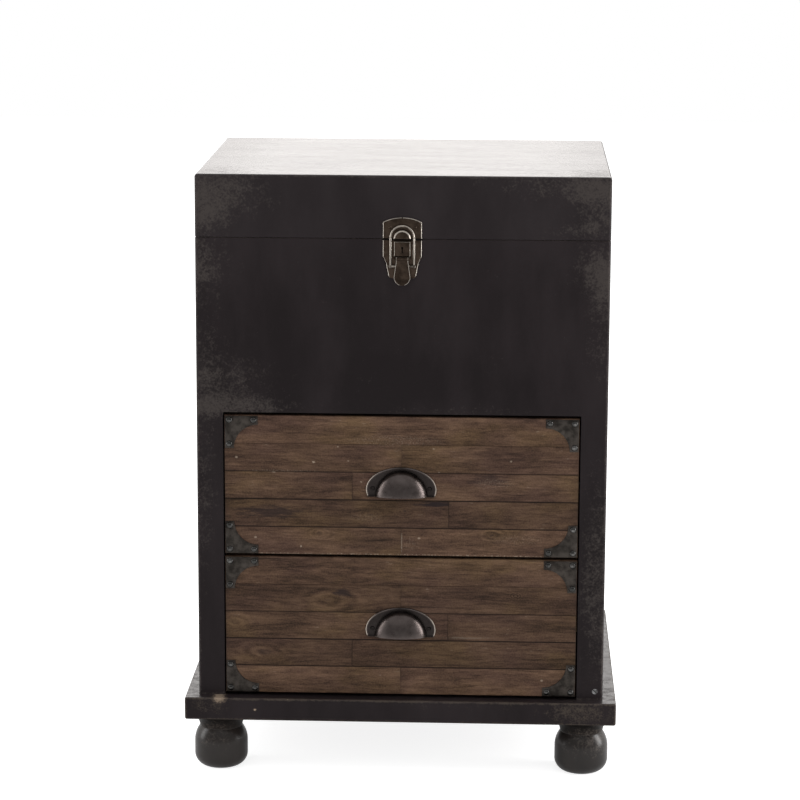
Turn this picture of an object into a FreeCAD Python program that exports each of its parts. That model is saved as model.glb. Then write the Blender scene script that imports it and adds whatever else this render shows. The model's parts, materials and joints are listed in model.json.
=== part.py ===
"""Lift-lid trunk chest over two drawers, on a plinth board with turned bun feet.

Millimetres. The origin is on the floor at the middle of the overall width and depth.
+Z is up, the front faces -Y and +X is to the right of someone who faces the front.
"""
import FreeCAD, Part
import math
import os

V = FreeCAD.Vector
ORIGIN = V(0, 0, 0)
RIGHT = V(1, 0, 0)
LEFT = V(-1, 0, 0)
FRONT = V(0, -1, 0)
UP = V(0, 0, 1)
DOWN = V(0, 0, -1)

# Case boards
case_width = 460.0
case_depth = 370.0
case_board = 18.0
front_panel_height = 197.0
drawer_opening_height = 329.0
stile_width = 30.0
corner_radius = 3.5
edge_ease = 1.0
trunk_floor_thickness = 12.0
trunk_floor_rise = 6.0
trunk_floor_housing = 6.0
back_panel_thickness = 6.0
back_panel_lap = 9.0
back_rail_height = 60.0

# Lid boards
lid_height = 70.0
lid_board = 18.0
lid_top_thickness = 16.0
lid_gap = 0.5

# Plinth board and turned feet
base_thickness = 26.0
base_overhang = 15.0
base_edge_radius = 2.5
foot_inset = 38.0
collar_radius = 31.0
foot_height = 64.0
collar_height = 3.0
cove_height = 13.5
cove_depth = 1.0
neck_radius = 24.3
bun_radius = 30.4
sole_rounding = 15.0
spigot_radius = 10.0
spigot_cover = 6.0
spigot_clearance = 0.1

# Stop hinges at the back
hinge_inset = 100.0
hinge_length = 60.0
knuckle_count = 5
knuckle_gap = 0.3
barrel_radius = 4.0
barrel_stand_off = 0.5
hinge_pin_radius = 1.8
hinge_pin_head_radius = 3.0
hinge_pin_head_height = 1.6
leaf_thickness = 2.0
leaf_margin = 3.0
heel_reach = 11.0
lid_opening_degrees = 95.0
stop_clearance_degrees = 0.4
hinge_screw_spacing = 20.0
hinge_screw_length = 14.0

# Screws, pins and their fits
countersunk_head_radius = 3.2
screw_shank_radius = 1.6
screw_slot_width = 0.9
screw_slot_depth = 0.9
button_crown_share = 0.55
pilot_clearance = 0.05
running_clearance = 0.05
runner_screw_grip = 10.0
stile_screw_rise = 10.0
stile_screw_length = 40.0

# Toggle latch, heights and drops measured from the rim, reach measured out from the front face
latch_width = 43.0
latch_sheet = 2.2
latch_edge_ease = 0.9
latch_parting = 0.6
strike_shoulder = 19.2
strike_crown = 24.5
plate_shoulder_drop = 19.0
plate_waist_width = 36.0
plate_waist_drop = 27.0
plate_foot_width = 31.0
plate_foot_drop = 43.5
plate_foot_radius = 4.0
hook_width = 19.0
hook_rise = 10.9
hook_reach = 9.0
hook_lip = 2.8
hook_groove_depth = 1.6
hook_ease = 1.8
lock_case_width = 18.0
lock_case_top_drop = 2.0
lock_case_foot_drop = 18.4
lock_case_reach = 5.5
lock_case_ease = 0.8
keyhole_radius = 1.3
keyhole_slot_width = 1.3
keyhole_drop = 9.0
keyhole_length = 5.5
keyhole_depth = 2.6
lever_pivot_drop = 21.0
lever_pivot_reach = 5.6
lever_pin_radius = 1.0
lever_pin_head_radius = 1.6
lever_pin_head = 0.6
lever_barrel_radius = 2.0
lever_sheet = 2.0
lever_neck_width = 13.4
lever_neck_drop = 24.5
lever_width = 18.4
lever_wide_drop = 41.6
lever_tip_drop = 50.5
lever_curl = 2.4
ear_thickness = 1.6
ear_gap = 0.25
ear_wall = 1.2
bail_wire_radius = 1.1
bail_width = 26.1
bail_crown = 15.3
bail_reach = 4.8
bail_pivot_drop = 29.5
bail_bar_radius = 1.1
bail_bar_overhang = 0.7
bail_eye_radius = 2.2
latch_screw_head_radius = 2.0
latch_screw_head_height = 1.1
latch_screw_shank_radius = 1.0
latch_screw_length = 12.0
strike_screw_spacing = 28.0
strike_screw_rise = 13.5
plate_screw_spacing = 9.0
plate_screw_drop = 37.0

# Drawer fronts and boxes
drawer_gap = 3.5
drawer_side_gap = 1.5
plank_rows = 5
plank_thickness = 8.0
plank_ease = 0.7
upper_plank_joints = (None, 0.0, -55.0, 53.5, 0.0)
lower_plank_joints = (None, 0.0, 53.5, -55.0, 0.0)
front_board = 12.0
drawer_board = 12.0
drawer_box_gap = 2.5
drawer_side_height = 125.0
drawer_side_rise = 12.0
drawer_back_room = 34.0
drawer_housing = 4.0
drawer_bottom_thickness = 5.0
drawer_bottom_rise = 10.0
drawer_bottom_groove = 5.0
drawer_back_inset = 6.0
runner_height = 14.0
runner_engagement = 6.0
runner_clearance = 0.3
runner_setback = 10.0
runner_end_gap = 4.0
runner_screw_inset = 40.0

# Corner plates and rivets on the drawer fronts
plate_leg = 37.0
plate_leg_width = 10.0
plate_thickness = 1.0
plate_inset = 0.4
rivet_inset = 4.8
rivet_spacing = 27.4
rivet_head_radius = 3.6
rivet_head_height = 2.0
rivet_shank_radius = 1.2
rivet_shank_length = 7.0

# Cup pulls, rises measured from the pull's lower edge
pull_flange_width = 79.0
pull_flange_height = 34.0
pull_flange_middle = 8.5
pull_flange_thickness = 1.4
pull_rim_width = 2.0
pull_rim_height = 0.9
pull_hood_width = 59.0
pull_hood_reach = 20.0
pull_hood_wall = 1.5
pull_hood_knuckle = 13.0
pull_lip_rise = 2.2
pull_drop = 11.5
pull_screw_spacing = 64.0
pull_screw_rise = 9.5
pull_screw_head_radius = 2.6
pull_screw_head_height = 1.5
pull_screw_shank_radius = 1.5
pull_screw_length = 15.0

# Levels and planes that follow from the sizes above
half_width = case_width / 2
inner_half = half_width - case_board
opening_half = half_width - stile_width
neck_drop = collar_height + cove_height
bun_drop = neck_drop + math.sqrt(bun_radius**2 - neck_radius**2)
girth_drop = foot_height - sole_rounding
base_top = foot_height + base_thickness
opening_top = base_top + drawer_opening_height
rim = opening_top + front_panel_height
lid_low = rim + lid_gap
lid_top_low = lid_low + lid_height - lid_top_thickness
lid_high = lid_low + lid_height
overall_depth = pull_hood_reach + case_depth + base_overhang
front = pull_hood_reach - overall_depth / 2
back = front + case_depth
front_inner = front + case_board
back_inner = back - back_panel_thickness
rail_low = rim - back_rail_height
floor_low = opening_top + trunk_floor_rise
floor_top = floor_low + trunk_floor_thickness
hinge_y = back + barrel_stand_off + barrel_radius
hinge_z = rim + lid_gap / 2
leaf_reach = min(case_board, lid_board) - leaf_margin
drawer_front_height = (drawer_opening_height - 3 * drawer_gap) / 2
drawer_front_half = opening_half - drawer_side_gap
box_half = opening_half - drawer_box_gap
box_start = front + plank_thickness + front_board
box_end = back_inner - drawer_back_room
runner_start = box_start + runner_setback
runner_end = back_inner - runner_end_gap


def board(x_range, y_range, z_range):
    """A rectangular board between three pairs of faces."""
    (x0, x1), (y0, y1), (z0, z1) = x_range, y_range, z_range
    return Part.makeBox(x1 - x0, y1 - y0, z1 - z0, V(x0, y0, z0))


def mirrored(shape):
    """The same piece on the other side of the middle plane."""
    return shape.mirror(ORIGIN, RIGHT)


def single(shape):
    """The one solid that a cut or a fuse leaves."""
    return shape.removeSplitter().Solids[0]


def joined(shapes):
    """Shapes fused into one solid."""
    return single(shapes[0].multiFuse(shapes[1:]))


def edges_on(shape, **planes):
    """Edges that lie in every plane named, such as x=230, z=619."""
    near = 1e-3
    found = []
    for edge in shape.Edges:
        span = edge.BoundBox
        lows = {"x": span.XMin, "y": span.YMin, "z": span.ZMin}
        highs = {"x": span.XMax, "y": span.YMax, "z": span.ZMax}
        flat = [abs(lows[k] - v) < near and abs(highs[k] - v) < near for k, v in planes.items()]
        if all(flat):
            found.append(edge)
    return found


def line(start, end):
    """A straight edge."""
    return Part.LineSegment(start, end).toShape()


def arc(start, middle, end):
    """A round edge through three points."""
    return Part.Arc(start, middle, end).toShape()


def face_of(edges):
    """A flat face inside a closed run of edges."""
    return Part.Face(Part.Wire(edges))


def closed_path(points):
    """Straight edges from point to point and back to the first."""
    return [line(a, b) for a, b in zip(points, points[1:] + points[:1])]


def turned(edges):
    """A solid turned about the Z axis from a profile in the XZ plane."""
    return face_of(edges).revolve(ORIGIN, UP, 360)


def placed(shape, spot, facing):
    """A piece made along +Z, moved to a spot and turned to face a direction."""
    copy = shape.copy()
    copy.Placement = FreeCAD.Placement(spot, FreeCAD.Rotation(UP, facing))
    return copy


def save(name, solids):
    """Write one node, which may be a group of separate solids."""
    Part.makeCompound(solids).exportStep("parts/" + name + ".step")


def countersunk_blank(length, clearance):
    """A countersunk screw's outline with its flat head at z = 0, or its hole when clearance is given."""
    head = countersunk_head_radius + clearance
    shank = screw_shank_radius + clearance
    taper = countersunk_head_radius - screw_shank_radius
    foot = -(length + clearance)
    outline = [ORIGIN, V(head, 0, 0), V(shank, 0, -taper), V(shank, 0, foot), V(0, 0, foot)]
    return turned(closed_path(outline))


def slotted_screw(length):
    """A countersunk screw with a driver slot."""
    slot = board(
        (-countersunk_head_radius, countersunk_head_radius),
        (-screw_slot_width / 2, screw_slot_width / 2),
        (-screw_slot_depth, screw_slot_depth),
    )
    return single(countersunk_blank(length, 0).cut(slot))


def button_headed(head_radius, head_height, shank_radius, shank_length):
    """A fastener with a low tapered head that bears at z = 0."""
    crown_radius = head_radius * button_crown_share
    head = Part.makeCone(head_radius, crown_radius, head_height)
    return joined([head, Part.makeCylinder(shank_radius, shank_length, ORIGIN, DOWN)])


def shank_hole(shank_radius, depth, spot, facing):
    """The hole that a fastener's shank needs, from its bearing face inwards."""
    return Part.makeCylinder(shank_radius + pilot_clearance, depth + pilot_clearance, spot, facing.negative())


# Plinth board and feet

def foot_spots():
    """Names and centres of the four feet."""
    reach_x = half_width + base_overhang - foot_inset
    front_y = front - base_overhang + foot_inset
    back_y = back + base_overhang - foot_inset
    spots = {}
    for end, y in (("front", front_y), ("back", back_y)):
        for side, x in (("left", -reach_x), ("right", reach_x)):
            spots["foot_" + end + "_" + side] = V(x, y, foot_height)
    return spots


def turned_foot():
    """A bun foot with its seat at z = 0 and a spigot above it."""
    spigot_top = base_thickness - spigot_cover
    cove_middle = V(
        (collar_radius + neck_radius) / 2 - cove_depth, 0, cove_depth - (collar_height + neck_drop) / 2
    )
    half_angle = math.acos(neck_radius / bun_radius) / 2
    shoulder_middle = V(bun_radius * math.cos(half_angle), 0, bun_radius * math.sin(half_angle) - bun_drop)
    sole_radius = bun_radius - sole_rounding
    swing = sole_rounding * math.sqrt(0.5)
    sole_middle = V(sole_radius + swing, 0, -girth_drop - swing)
    edges = [
        line(V(0, 0, spigot_top), V(spigot_radius, 0, spigot_top)),
        line(V(spigot_radius, 0, spigot_top), V(spigot_radius, 0, 0)),
        line(V(spigot_radius, 0, 0), V(collar_radius, 0, 0)),
        line(V(collar_radius, 0, 0), V(collar_radius, 0, -collar_height)),
        arc(V(collar_radius, 0, -collar_height), cove_middle, V(neck_radius, 0, -neck_drop)),
        arc(V(neck_radius, 0, -neck_drop), shoulder_middle, V(bun_radius, 0, -bun_drop)),
        line(V(bun_radius, 0, -bun_drop), V(bun_radius, 0, -girth_drop)),
        arc(V(bun_radius, 0, -girth_drop), sole_middle, V(sole_radius, 0, -foot_height)),
        line(V(sole_radius, 0, -foot_height), V(0, 0, -foot_height)),
        line(V(0, 0, -foot_height), V(0, 0, spigot_top)),
    ]
    return turned(edges)


def plinth_board():
    """The overhanging board that the case stands on, bored for the feet."""
    reach = half_width + base_overhang
    low_y = front - base_overhang
    high_y = back + base_overhang
    plinth = board((-reach, reach), (low_y, high_y), (foot_height, base_top))
    plinth = plinth.makeFillet(base_edge_radius, plinth.Edges)
    depth = base_thickness - spigot_cover + spigot_clearance
    for spot in foot_spots().values():
        plinth = plinth.cut(Part.makeCylinder(spigot_radius + spigot_clearance, depth, spot, UP))
    return single(plinth)


# Case boards

def stile_screw_spot():
    """Head of the one screw that shows, in the right stile over the side panel's edge."""
    return V(half_width - case_board / 2, front, base_top + stile_screw_rise)


def left_side_panel():
    """Side panel with a housing for the trunk floor and a rabbet for the back panel."""
    panel = board((-half_width, -inner_half), (front_inner, back), (base_top, rim))
    eased = edges_on(panel, x=-half_width, z=rim)
    panel = panel.makeFillet(edge_ease, eased)
    panel = panel.makeFillet(corner_radius, edges_on(panel, x=-half_width, y=back))
    housing = board(
        (-inner_half - trunk_floor_housing, -inner_half), (front_inner, back_inner), (floor_low, floor_top)
    )
    rabbet = board(
        (-inner_half - back_panel_lap, -inner_half), (back_inner, back), (base_top, rail_low + back_panel_lap)
    )
    return single(panel.cut([housing, rabbet]))


def front_panel():
    """Front of the trunk, across the whole width above the drawers."""
    panel = board((-half_width, half_width), (front, front_inner), (opening_top, rim))
    corners = edges_on(panel, x=-half_width, y=front) + edges_on(panel, x=half_width, y=front)
    panel = panel.makeFillet(corner_radius, corners)
    inner = edges_on(panel, y=front_inner)
    top = [edge for edge in edges_on(panel, z=rim) if not any(edge.isSame(other) for other in inner)]
    panel = panel.makeFillet(edge_ease, top)
    return single(panel.cut(latch_screw_holes(latch_screw_spots()[1])))


def left_stile():
    """Post beside the drawers, over the front edge of the side panel."""
    stile = board((-half_width, -opening_half), (front, front_inner), (base_top, opening_top))
    stile = stile.makeFillet(corner_radius, edges_on(stile, x=-half_width, y=front))
    return stile.makeFillet(edge_ease, edges_on(stile, x=-opening_half, y=front))


def back_panel():
    """Sheet in the rabbets of the side panels and the back rail."""
    reach = inner_half + back_panel_lap
    return board((-reach, reach), (back_inner, back), (base_top, rail_low + back_panel_lap))


def trunk_floor():
    """Floor of the trunk, held in housings of the side panels."""
    reach = inner_half + trunk_floor_housing
    return board((-reach, reach), (front_inner, back_inner), (floor_low, floor_top))


def back_rail():
    """Rail under the lid's back edge, rabbeted for the back panel and let in for the hinges."""
    rail = board((-inner_half, inner_half), (back - case_board, back), (rail_low, rim))
    rabbet = board((-inner_half, inner_half), (back_inner, back), (rail_low, rail_low + back_panel_lap))
    cuts = [rabbet]
    for middle in hinge_middles():
        cuts.append(leaf_recess(middle, rim - leaf_thickness, rim))
    for spot in hinge_screw_spots(rim):
        cuts.append(placed(countersunk_blank(hinge_screw_length, pilot_clearance), spot, UP))
    return single(rail.cut(cuts))


# Lid boards

def lid_front_wall():
    """Front wall of the lid."""
    wall = board((-half_width, half_width), (front, front + lid_board), (lid_low, lid_top_low))
    corners = edges_on(wall, x=-half_width, y=front) + edges_on(wall, x=half_width, y=front)
    wall = wall.makeFillet(corner_radius, corners)
    inner = edges_on(wall, y=front + lid_board)
    low = [edge for edge in edges_on(wall, z=lid_low) if not any(edge.isSame(other) for other in inner)]
    wall = wall.makeFillet(edge_ease, low)
    return single(wall.cut(latch_screw_holes(latch_screw_spots()[0])))


def lid_back_wall():
    """Back wall of the lid, let in for the hinges."""
    wall = board((-half_width, half_width), (back - lid_board, back), (lid_low, lid_top_low))
    corners = edges_on(wall, x=-half_width, y=back) + edges_on(wall, x=half_width, y=back)
    wall = wall.makeFillet(corner_radius, corners)
    cuts = []
    for middle in hinge_middles():
        cuts.append(leaf_recess(middle, lid_low, lid_low + leaf_thickness))
    for spot in hinge_screw_spots(lid_low):
        cuts.append(placed(countersunk_blank(hinge_screw_length, pilot_clearance), spot, DOWN))
    return single(wall.cut(cuts))


def lid_left_wall():
    """Side wall of the lid, between the front and back walls."""
    wall = board(
        (-half_width, lid_board - half_width), (front + lid_board, back - lid_board), (lid_low, lid_top_low)
    )
    return wall.makeFillet(edge_ease, edges_on(wall, x=-half_width, z=lid_low))


def lid_top():
    """Top board of the lid, rounded where hands and trunks rub."""
    top = board((-half_width, half_width), (front, back), (lid_top_low, lid_high))
    rounded = edges_on(top, z=lid_high)
    for x in (-half_width, half_width):
        for y in (front, back):
            rounded = rounded + edges_on(top, x=x, y=y)
    return top.makeFillet(corner_radius, rounded)


# Stop hinges

def hinge_middles():
    """Middles of the left and right hinge, each a set way in from its side of the case."""
    return [hinge_inset - half_width, half_width - hinge_inset]


def leaf_recess(middle, z0, z1):
    """Space that a leaf fills in the edge of a board."""
    half = hinge_length / 2
    return board((middle - half, middle + half), (back - leaf_reach, back), (z0, z1))


def hinge_screw_spots(z):
    """Heads of the leaf screws, three to a leaf."""
    y = back - leaf_reach / 2
    steps = (-hinge_screw_spacing, 0, hinge_screw_spacing)
    return [V(middle + step, y, z) for middle in hinge_middles() for step in steps]


def knuckle(station, radius, spare):
    """One knuckle's length of the barrel about the X axis, longer by spare at each end."""
    pitch = hinge_length / knuckle_count
    start = station * pitch - hinge_length / 2 + knuckle_gap / 2 - spare
    return Part.makeCylinder(radius, pitch - knuckle_gap + 2 * spare, V(start, 0, 0), RIGHT)


def hinge_leaf(stations, z0, z1, heel_low, heel_degrees):
    """A leaf with its knuckles and its stop heel, made about the pin's axis.

    The two heels stand behind the barrel in a V and meet when the lid is fully open.
    """
    half = hinge_length / 2
    plate = board((-half, half), (back - leaf_reach - hinge_y, 0), (z0, z1))
    clear_radius = barrel_radius + knuckle_gap
    heel = board((-half, half), (clear_radius, heel_reach), (heel_low, heel_low + leaf_thickness))
    pitch = hinge_length / knuckle_count
    pieces = []
    for station in range(knuckle_count):
        if station in stations:
            pieces.append(knuckle(station, barrel_radius, 0))
            low = station * pitch - half + knuckle_gap / 2
            high = low + pitch - knuckle_gap
            web = board((low, high), (0, heel_reach), (heel_low, heel_low + leaf_thickness))
            web.rotate(ORIGIN, RIGHT, heel_degrees)
            pieces.append(web)
        else:
            plate = plate.cut(knuckle(station, clear_radius, knuckle_gap))
    heel.rotate(ORIGIN, RIGHT, heel_degrees)
    leaf = joined([single(plate), heel] + pieces)
    bore = hinge_pin_radius + running_clearance
    return single(leaf.cut(Part.makeCylinder(bore, 2 * hinge_length, V(-hinge_length, 0, 0), RIGHT)))


def hinge_pin():
    """Pin with a button head at each end of the barrel, made about the X axis."""
    half = hinge_length / 2
    pin = Part.makeCylinder(hinge_pin_radius, hinge_length, V(-half, 0, 0), RIGHT)
    button = button_headed(hinge_pin_head_radius, hinge_pin_head_height, hinge_pin_radius, half)
    return joined([pin, placed(button, V(half, 0, 0), RIGHT), placed(button, V(-half, 0, 0), LEFT)])


def save_hinges():
    """Both hinges: case leaf, lid leaf, pin, and the two groups of screws."""
    half_stop = (lid_opening_degrees + stop_clearance_degrees) / 2
    case_stations = range(0, knuckle_count, 2)
    lid_stations = range(1, knuckle_count, 2)
    half_gap = lid_gap / 2
    case_leaf = hinge_leaf(case_stations, -half_gap - leaf_thickness, -half_gap, -leaf_thickness, -half_stop)
    lid_leaf = hinge_leaf(lid_stations, half_gap, half_gap + leaf_thickness, 0, half_stop)
    pin = hinge_pin()
    case_holes = []
    for spot in hinge_screw_spots(rim):
        case_holes.append(placed(countersunk_blank(hinge_screw_length, pilot_clearance), spot, UP))
    lid_holes = []
    for spot in hinge_screw_spots(lid_low):
        lid_holes.append(placed(countersunk_blank(hinge_screw_length, pilot_clearance), spot, DOWN))
    for side, middle in zip(("left", "right"), hinge_middles()):
        place = V(middle, hinge_y, hinge_z)
        save("hinge_" + side + "_case_leaf", [single(case_leaf.translated(place).cut(case_holes))])
        save("hinge_" + side + "_lid_leaf", [single(lid_leaf.translated(place).cut(lid_holes))])
        save("hinge_" + side + "_pin", [pin.translated(place)])
    screw = countersunk_blank(hinge_screw_length, 0)
    save("hinge_case_screws", [placed(screw, spot, UP) for spot in hinge_screw_spots(rim)])
    save("hinge_lid_screws", [placed(screw, spot, DOWN) for spot in hinge_screw_spots(lid_low)])


# Toggle latch

def on_front(x, reach, height):
    """A point of the latch: across, out from the front face, and above the rim."""
    return V(x, front - reach, rim + height)


def stamped(edges, start_reach, thickness):
    """A flat outline in the front plane, pushed out to a thickness from a given reach."""
    flat = face_of(edges)
    flat.translate(FRONT * start_reach)
    return flat.extrude(FRONT * thickness)


def outer_edges(shape, reach):
    """Edges of a stamping's outer face."""
    return edges_on(shape, y=front - reach)


def latch_screw_spots():
    """Bearing points of the strike screws and of the plate screws."""
    strike = [on_front(s * strike_screw_spacing / 2, latch_sheet, strike_screw_rise) for s in (-1, 1)]
    plate = [on_front(s * plate_screw_spacing / 2, latch_sheet, -plate_screw_drop) for s in (-1, 1)]
    return strike, plate


def latch_screw_holes(spots):
    """Shank holes for latch screws."""
    return [shank_hole(latch_screw_shank_radius, latch_screw_length, spot, FRONT) for spot in spots]


def arch(half, low, crown):
    """A round-topped outline on a straight foot, in the plane of the front face."""
    return [
        line(on_front(-half, 0, low), on_front(half, 0, low)),
        arc(on_front(half, 0, low), on_front(0, 0, crown), on_front(-half, 0, low)),
    ]


def latch_strike():
    """Strike plate on the lid with its arched hook, grooved behind the lip for the bail."""
    half = latch_width / 2
    low = lid_gap + latch_parting
    edges = [
        line(on_front(-half, 0, low), on_front(half, 0, low)),
        line(on_front(half, 0, low), on_front(half, 0, strike_shoulder)),
        arc(
            on_front(half, 0, strike_shoulder),
            on_front(0, 0, strike_crown),
            on_front(-half, 0, strike_shoulder),
        ),
        line(on_front(-half, 0, strike_shoulder), on_front(-half, 0, low)),
    ]
    plate = stamped(edges, 0, latch_sheet)
    plate = plate.makeFillet(latch_edge_ease, outer_edges(plate, latch_sheet))
    hook_half = hook_width / 2
    lip = stamped(arch(hook_half, low, hook_rise), hook_reach - hook_lip, hook_lip)
    lip = lip.makeFillet(hook_ease, outer_edges(lip, hook_reach))
    neck_half = hook_half - hook_groove_depth
    neck = stamped(arch(neck_half, low, hook_rise - hook_groove_depth), 0, hook_reach - hook_lip)
    strike = joined([plate, neck, lip])
    return single(strike.cut(latch_screw_holes(latch_screw_spots()[0])))


def latch_plate():
    """Latch plate on the case, narrowing to its foot, with two ears for the lever's pin."""
    half = latch_width / 2
    waist = plate_waist_width / 2
    foot = plate_foot_width / 2
    inner_foot = foot - plate_foot_radius
    bend = -(plate_foot_drop - plate_foot_radius)
    swing = plate_foot_radius * math.sqrt(0.5)
    right = [
        line(on_front(half, 0, -latch_parting), on_front(half, 0, -plate_shoulder_drop)),
        line(on_front(half, 0, -plate_shoulder_drop), on_front(waist, 0, -plate_waist_drop)),
        line(on_front(waist, 0, -plate_waist_drop), on_front(foot, 0, bend)),
        arc(
            on_front(foot, 0, bend),
            on_front(inner_foot + swing, 0, bend - swing),
            on_front(inner_foot, 0, -plate_foot_drop),
        ),
    ]
    low = line(on_front(inner_foot, 0, -plate_foot_drop), on_front(-inner_foot, 0, -plate_foot_drop))
    left = [mirrored(edge) for edge in reversed(right)]
    high = line(on_front(-half, 0, -latch_parting), on_front(half, 0, -latch_parting))
    plate = stamped(right + [low] + left + [high], 0, latch_sheet)
    plate = plate.makeFillet(latch_edge_ease, outer_edges(plate, latch_sheet))
    pivot = on_front(0, lever_pivot_reach, -lever_pivot_drop)
    ear_radius = lever_pin_radius + ear_wall
    pieces = [plate]
    for x in (lever_neck_width / 2 + ear_gap, -lever_neck_width / 2 - ear_gap - ear_thickness):
        pieces.append(Part.makeCylinder(ear_radius, ear_thickness, pivot + RIGHT * x, RIGHT))
        pieces.append(
            board(
                (x, x + ear_thickness),
                (pivot.y, front - latch_sheet / 2),
                (pivot.z - ear_radius, pivot.z + ear_radius),
            )
        )
    bore = Part.makeCylinder(lever_pin_radius + running_clearance, latch_width, pivot + LEFT * half, RIGHT)
    return single(joined(pieces).cut([bore] + latch_screw_holes(latch_screw_spots()[1])))


def latch_lock_case():
    """Small lock case on the latch plate, with a keyhole."""
    half = lock_case_width / 2
    corners = [
        on_front(-half, 0, -lock_case_foot_drop),
        on_front(half, 0, -lock_case_foot_drop),
        on_front(half, 0, -lock_case_top_drop),
        on_front(-half, 0, -lock_case_top_drop),
    ]
    case = stamped(closed_path(corners), latch_sheet, lock_case_reach - latch_sheet)
    case = case.makeFillet(lock_case_ease, outer_edges(case, lock_case_reach))
    eye = on_front(0, lock_case_reach - keyhole_depth, -keyhole_drop)
    round_part = Part.makeCylinder(keyhole_radius, keyhole_depth, eye, FRONT)
    slot = board(
        (-keyhole_slot_width / 2, keyhole_slot_width / 2),
        (front - lock_case_reach, eye.y),
        (eye.z - keyhole_length, eye.z),
    )
    return single(case.cut([round_part, slot]))


def latch_lever_pin():
    """Pin through the ears and the lever, headed at both ends."""
    pivot = on_front(0, lever_pivot_reach, -lever_pivot_drop)
    half = lever_neck_width / 2 + ear_gap + ear_thickness
    pin = Part.makeCylinder(lever_pin_radius, 2 * half, pivot + LEFT * half, RIGHT)
    heads = [
        Part.makeCylinder(lever_pin_head_radius, lever_pin_head, pivot + RIGHT * half, RIGHT),
        Part.makeCylinder(lever_pin_head_radius, lever_pin_head, pivot + LEFT * half, LEFT),
    ]
    return joined([pin] + heads)


def latch_lever():
    """Finger lever: a tongue with a rolled barrel, a bar for the bail and a tip that curls out."""
    neck = lever_neck_width / 2
    wide = lever_width / 2
    outline = [
        line(on_front(-neck, 0, -lever_pivot_drop), on_front(neck, 0, -lever_pivot_drop)),
        line(on_front(neck, 0, -lever_pivot_drop), on_front(neck, 0, -lever_neck_drop)),
        line(on_front(neck, 0, -lever_neck_drop), on_front(wide, 0, -lever_wide_drop)),
        arc(
            on_front(wide, 0, -lever_wide_drop),
            on_front(0, 0, -lever_tip_drop),
            on_front(-wide, 0, -lever_wide_drop),
        ),
        line(on_front(-wide, 0, -lever_wide_drop), on_front(-neck, 0, -lever_neck_drop)),
        line(on_front(-neck, 0, -lever_neck_drop), on_front(-neck, 0, -lever_pivot_drop)),
    ]
    inner = lever_pivot_reach - lever_sheet / 2
    outer = inner + lever_sheet
    tongue = stamped(outline, 0, outer + lever_curl)
    curl_middle = (lever_wide_drop + lever_tip_drop) / 2
    rise = lever_curl / 4
    side = [
        line(on_front(-wide, inner, -lever_pivot_drop), on_front(-wide, inner, -lever_wide_drop)),
        arc(
            on_front(-wide, inner, -lever_wide_drop),
            on_front(-wide, inner + rise, -curl_middle),
            on_front(-wide, inner + lever_curl, -lever_tip_drop),
        ),
        line(
            on_front(-wide, inner + lever_curl, -lever_tip_drop),
            on_front(-wide, outer + lever_curl, -lever_tip_drop),
        ),
        arc(
            on_front(-wide, outer + lever_curl, -lever_tip_drop),
            on_front(-wide, outer + rise, -curl_middle),
            on_front(-wide, outer, -lever_wide_drop),
        ),
        line(on_front(-wide, outer, -lever_wide_drop), on_front(-wide, outer, -lever_pivot_drop)),
        line(on_front(-wide, outer, -lever_pivot_drop), on_front(-wide, inner, -lever_pivot_drop)),
    ]
    sheet = single(face_of(side).extrude(RIGHT * lever_width).common(tongue))
    pivot = on_front(0, lever_pivot_reach, -lever_pivot_drop)
    barrel = Part.makeCylinder(lever_barrel_radius, lever_neck_width, pivot + LEFT * neck, RIGHT)
    bar_half = bail_width / 2 + bail_wire_radius + bail_bar_overhang
    bar_start = on_front(-bar_half, bail_reach, -bail_pivot_drop)
    bar = Part.makeCylinder(bail_bar_radius, 2 * bar_half, bar_start, RIGHT)
    lever = joined([sheet, barrel, bar])
    bore_start = pivot + LEFT * latch_width / 2
    bore = Part.makeCylinder(lever_pin_radius + running_clearance, latch_width, bore_start, RIGHT)
    return single(lever.cut(bore))


def latch_bail():
    """Wire bail: two legs, a half-round crown and an eye on each end of the lever's bar."""
    half = bail_width / 2
    spring = bail_crown - half
    wire = Part.Face(Part.Wire(Part.makeCircle(bail_wire_radius, on_front(half, bail_reach, spring), UP)))
    crown = wire.revolve(on_front(0, bail_reach, spring), FRONT, 180)
    pieces = [crown]
    eye_width = 2 * bail_wire_radius
    for side in (-1, 1):
        foot = on_front(side * half, bail_reach, -bail_pivot_drop)
        pieces.append(Part.makeCylinder(bail_wire_radius, spring + bail_pivot_drop, foot, UP))
        pieces.append(Part.makeCylinder(bail_eye_radius, eye_width, foot + LEFT * bail_wire_radius, RIGHT))
    bore_start = on_front(-latch_width / 2, bail_reach, -bail_pivot_drop)
    bore = Part.makeCylinder(bail_bar_radius + running_clearance, latch_width, bore_start, RIGHT)
    return single(joined(pieces).cut(bore))


def save_latch():
    """All the pieces of the toggle latch."""
    screw = button_headed(
        latch_screw_head_radius, latch_screw_head_height, latch_screw_shank_radius, latch_screw_length
    )
    strike_spots, plate_spots = latch_screw_spots()
    save("latch_strike", [latch_strike()])
    save("latch_strike_screws", [placed(screw, spot, FRONT) for spot in strike_spots])
    save("latch_plate", [latch_plate()])
    save("latch_plate_screws", [placed(screw, spot, FRONT) for spot in plate_spots])
    save("latch_lock_case", [latch_lock_case()])
    save("latch_lever_pin", [latch_lever_pin()])
    save("latch_lever", [latch_lever()])
    save("latch_bail", [latch_bail()])


# Drawer runners

def drawer_lows():
    """Lower edges of the two drawer fronts."""
    lower = base_top + drawer_gap
    return {"upper": lower + drawer_front_height + drawer_gap, "lower": lower}


def runner_middle(low):
    """Height of a runner's middle for a drawer whose front starts at low."""
    return low + drawer_side_rise + drawer_side_height / 2


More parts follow.
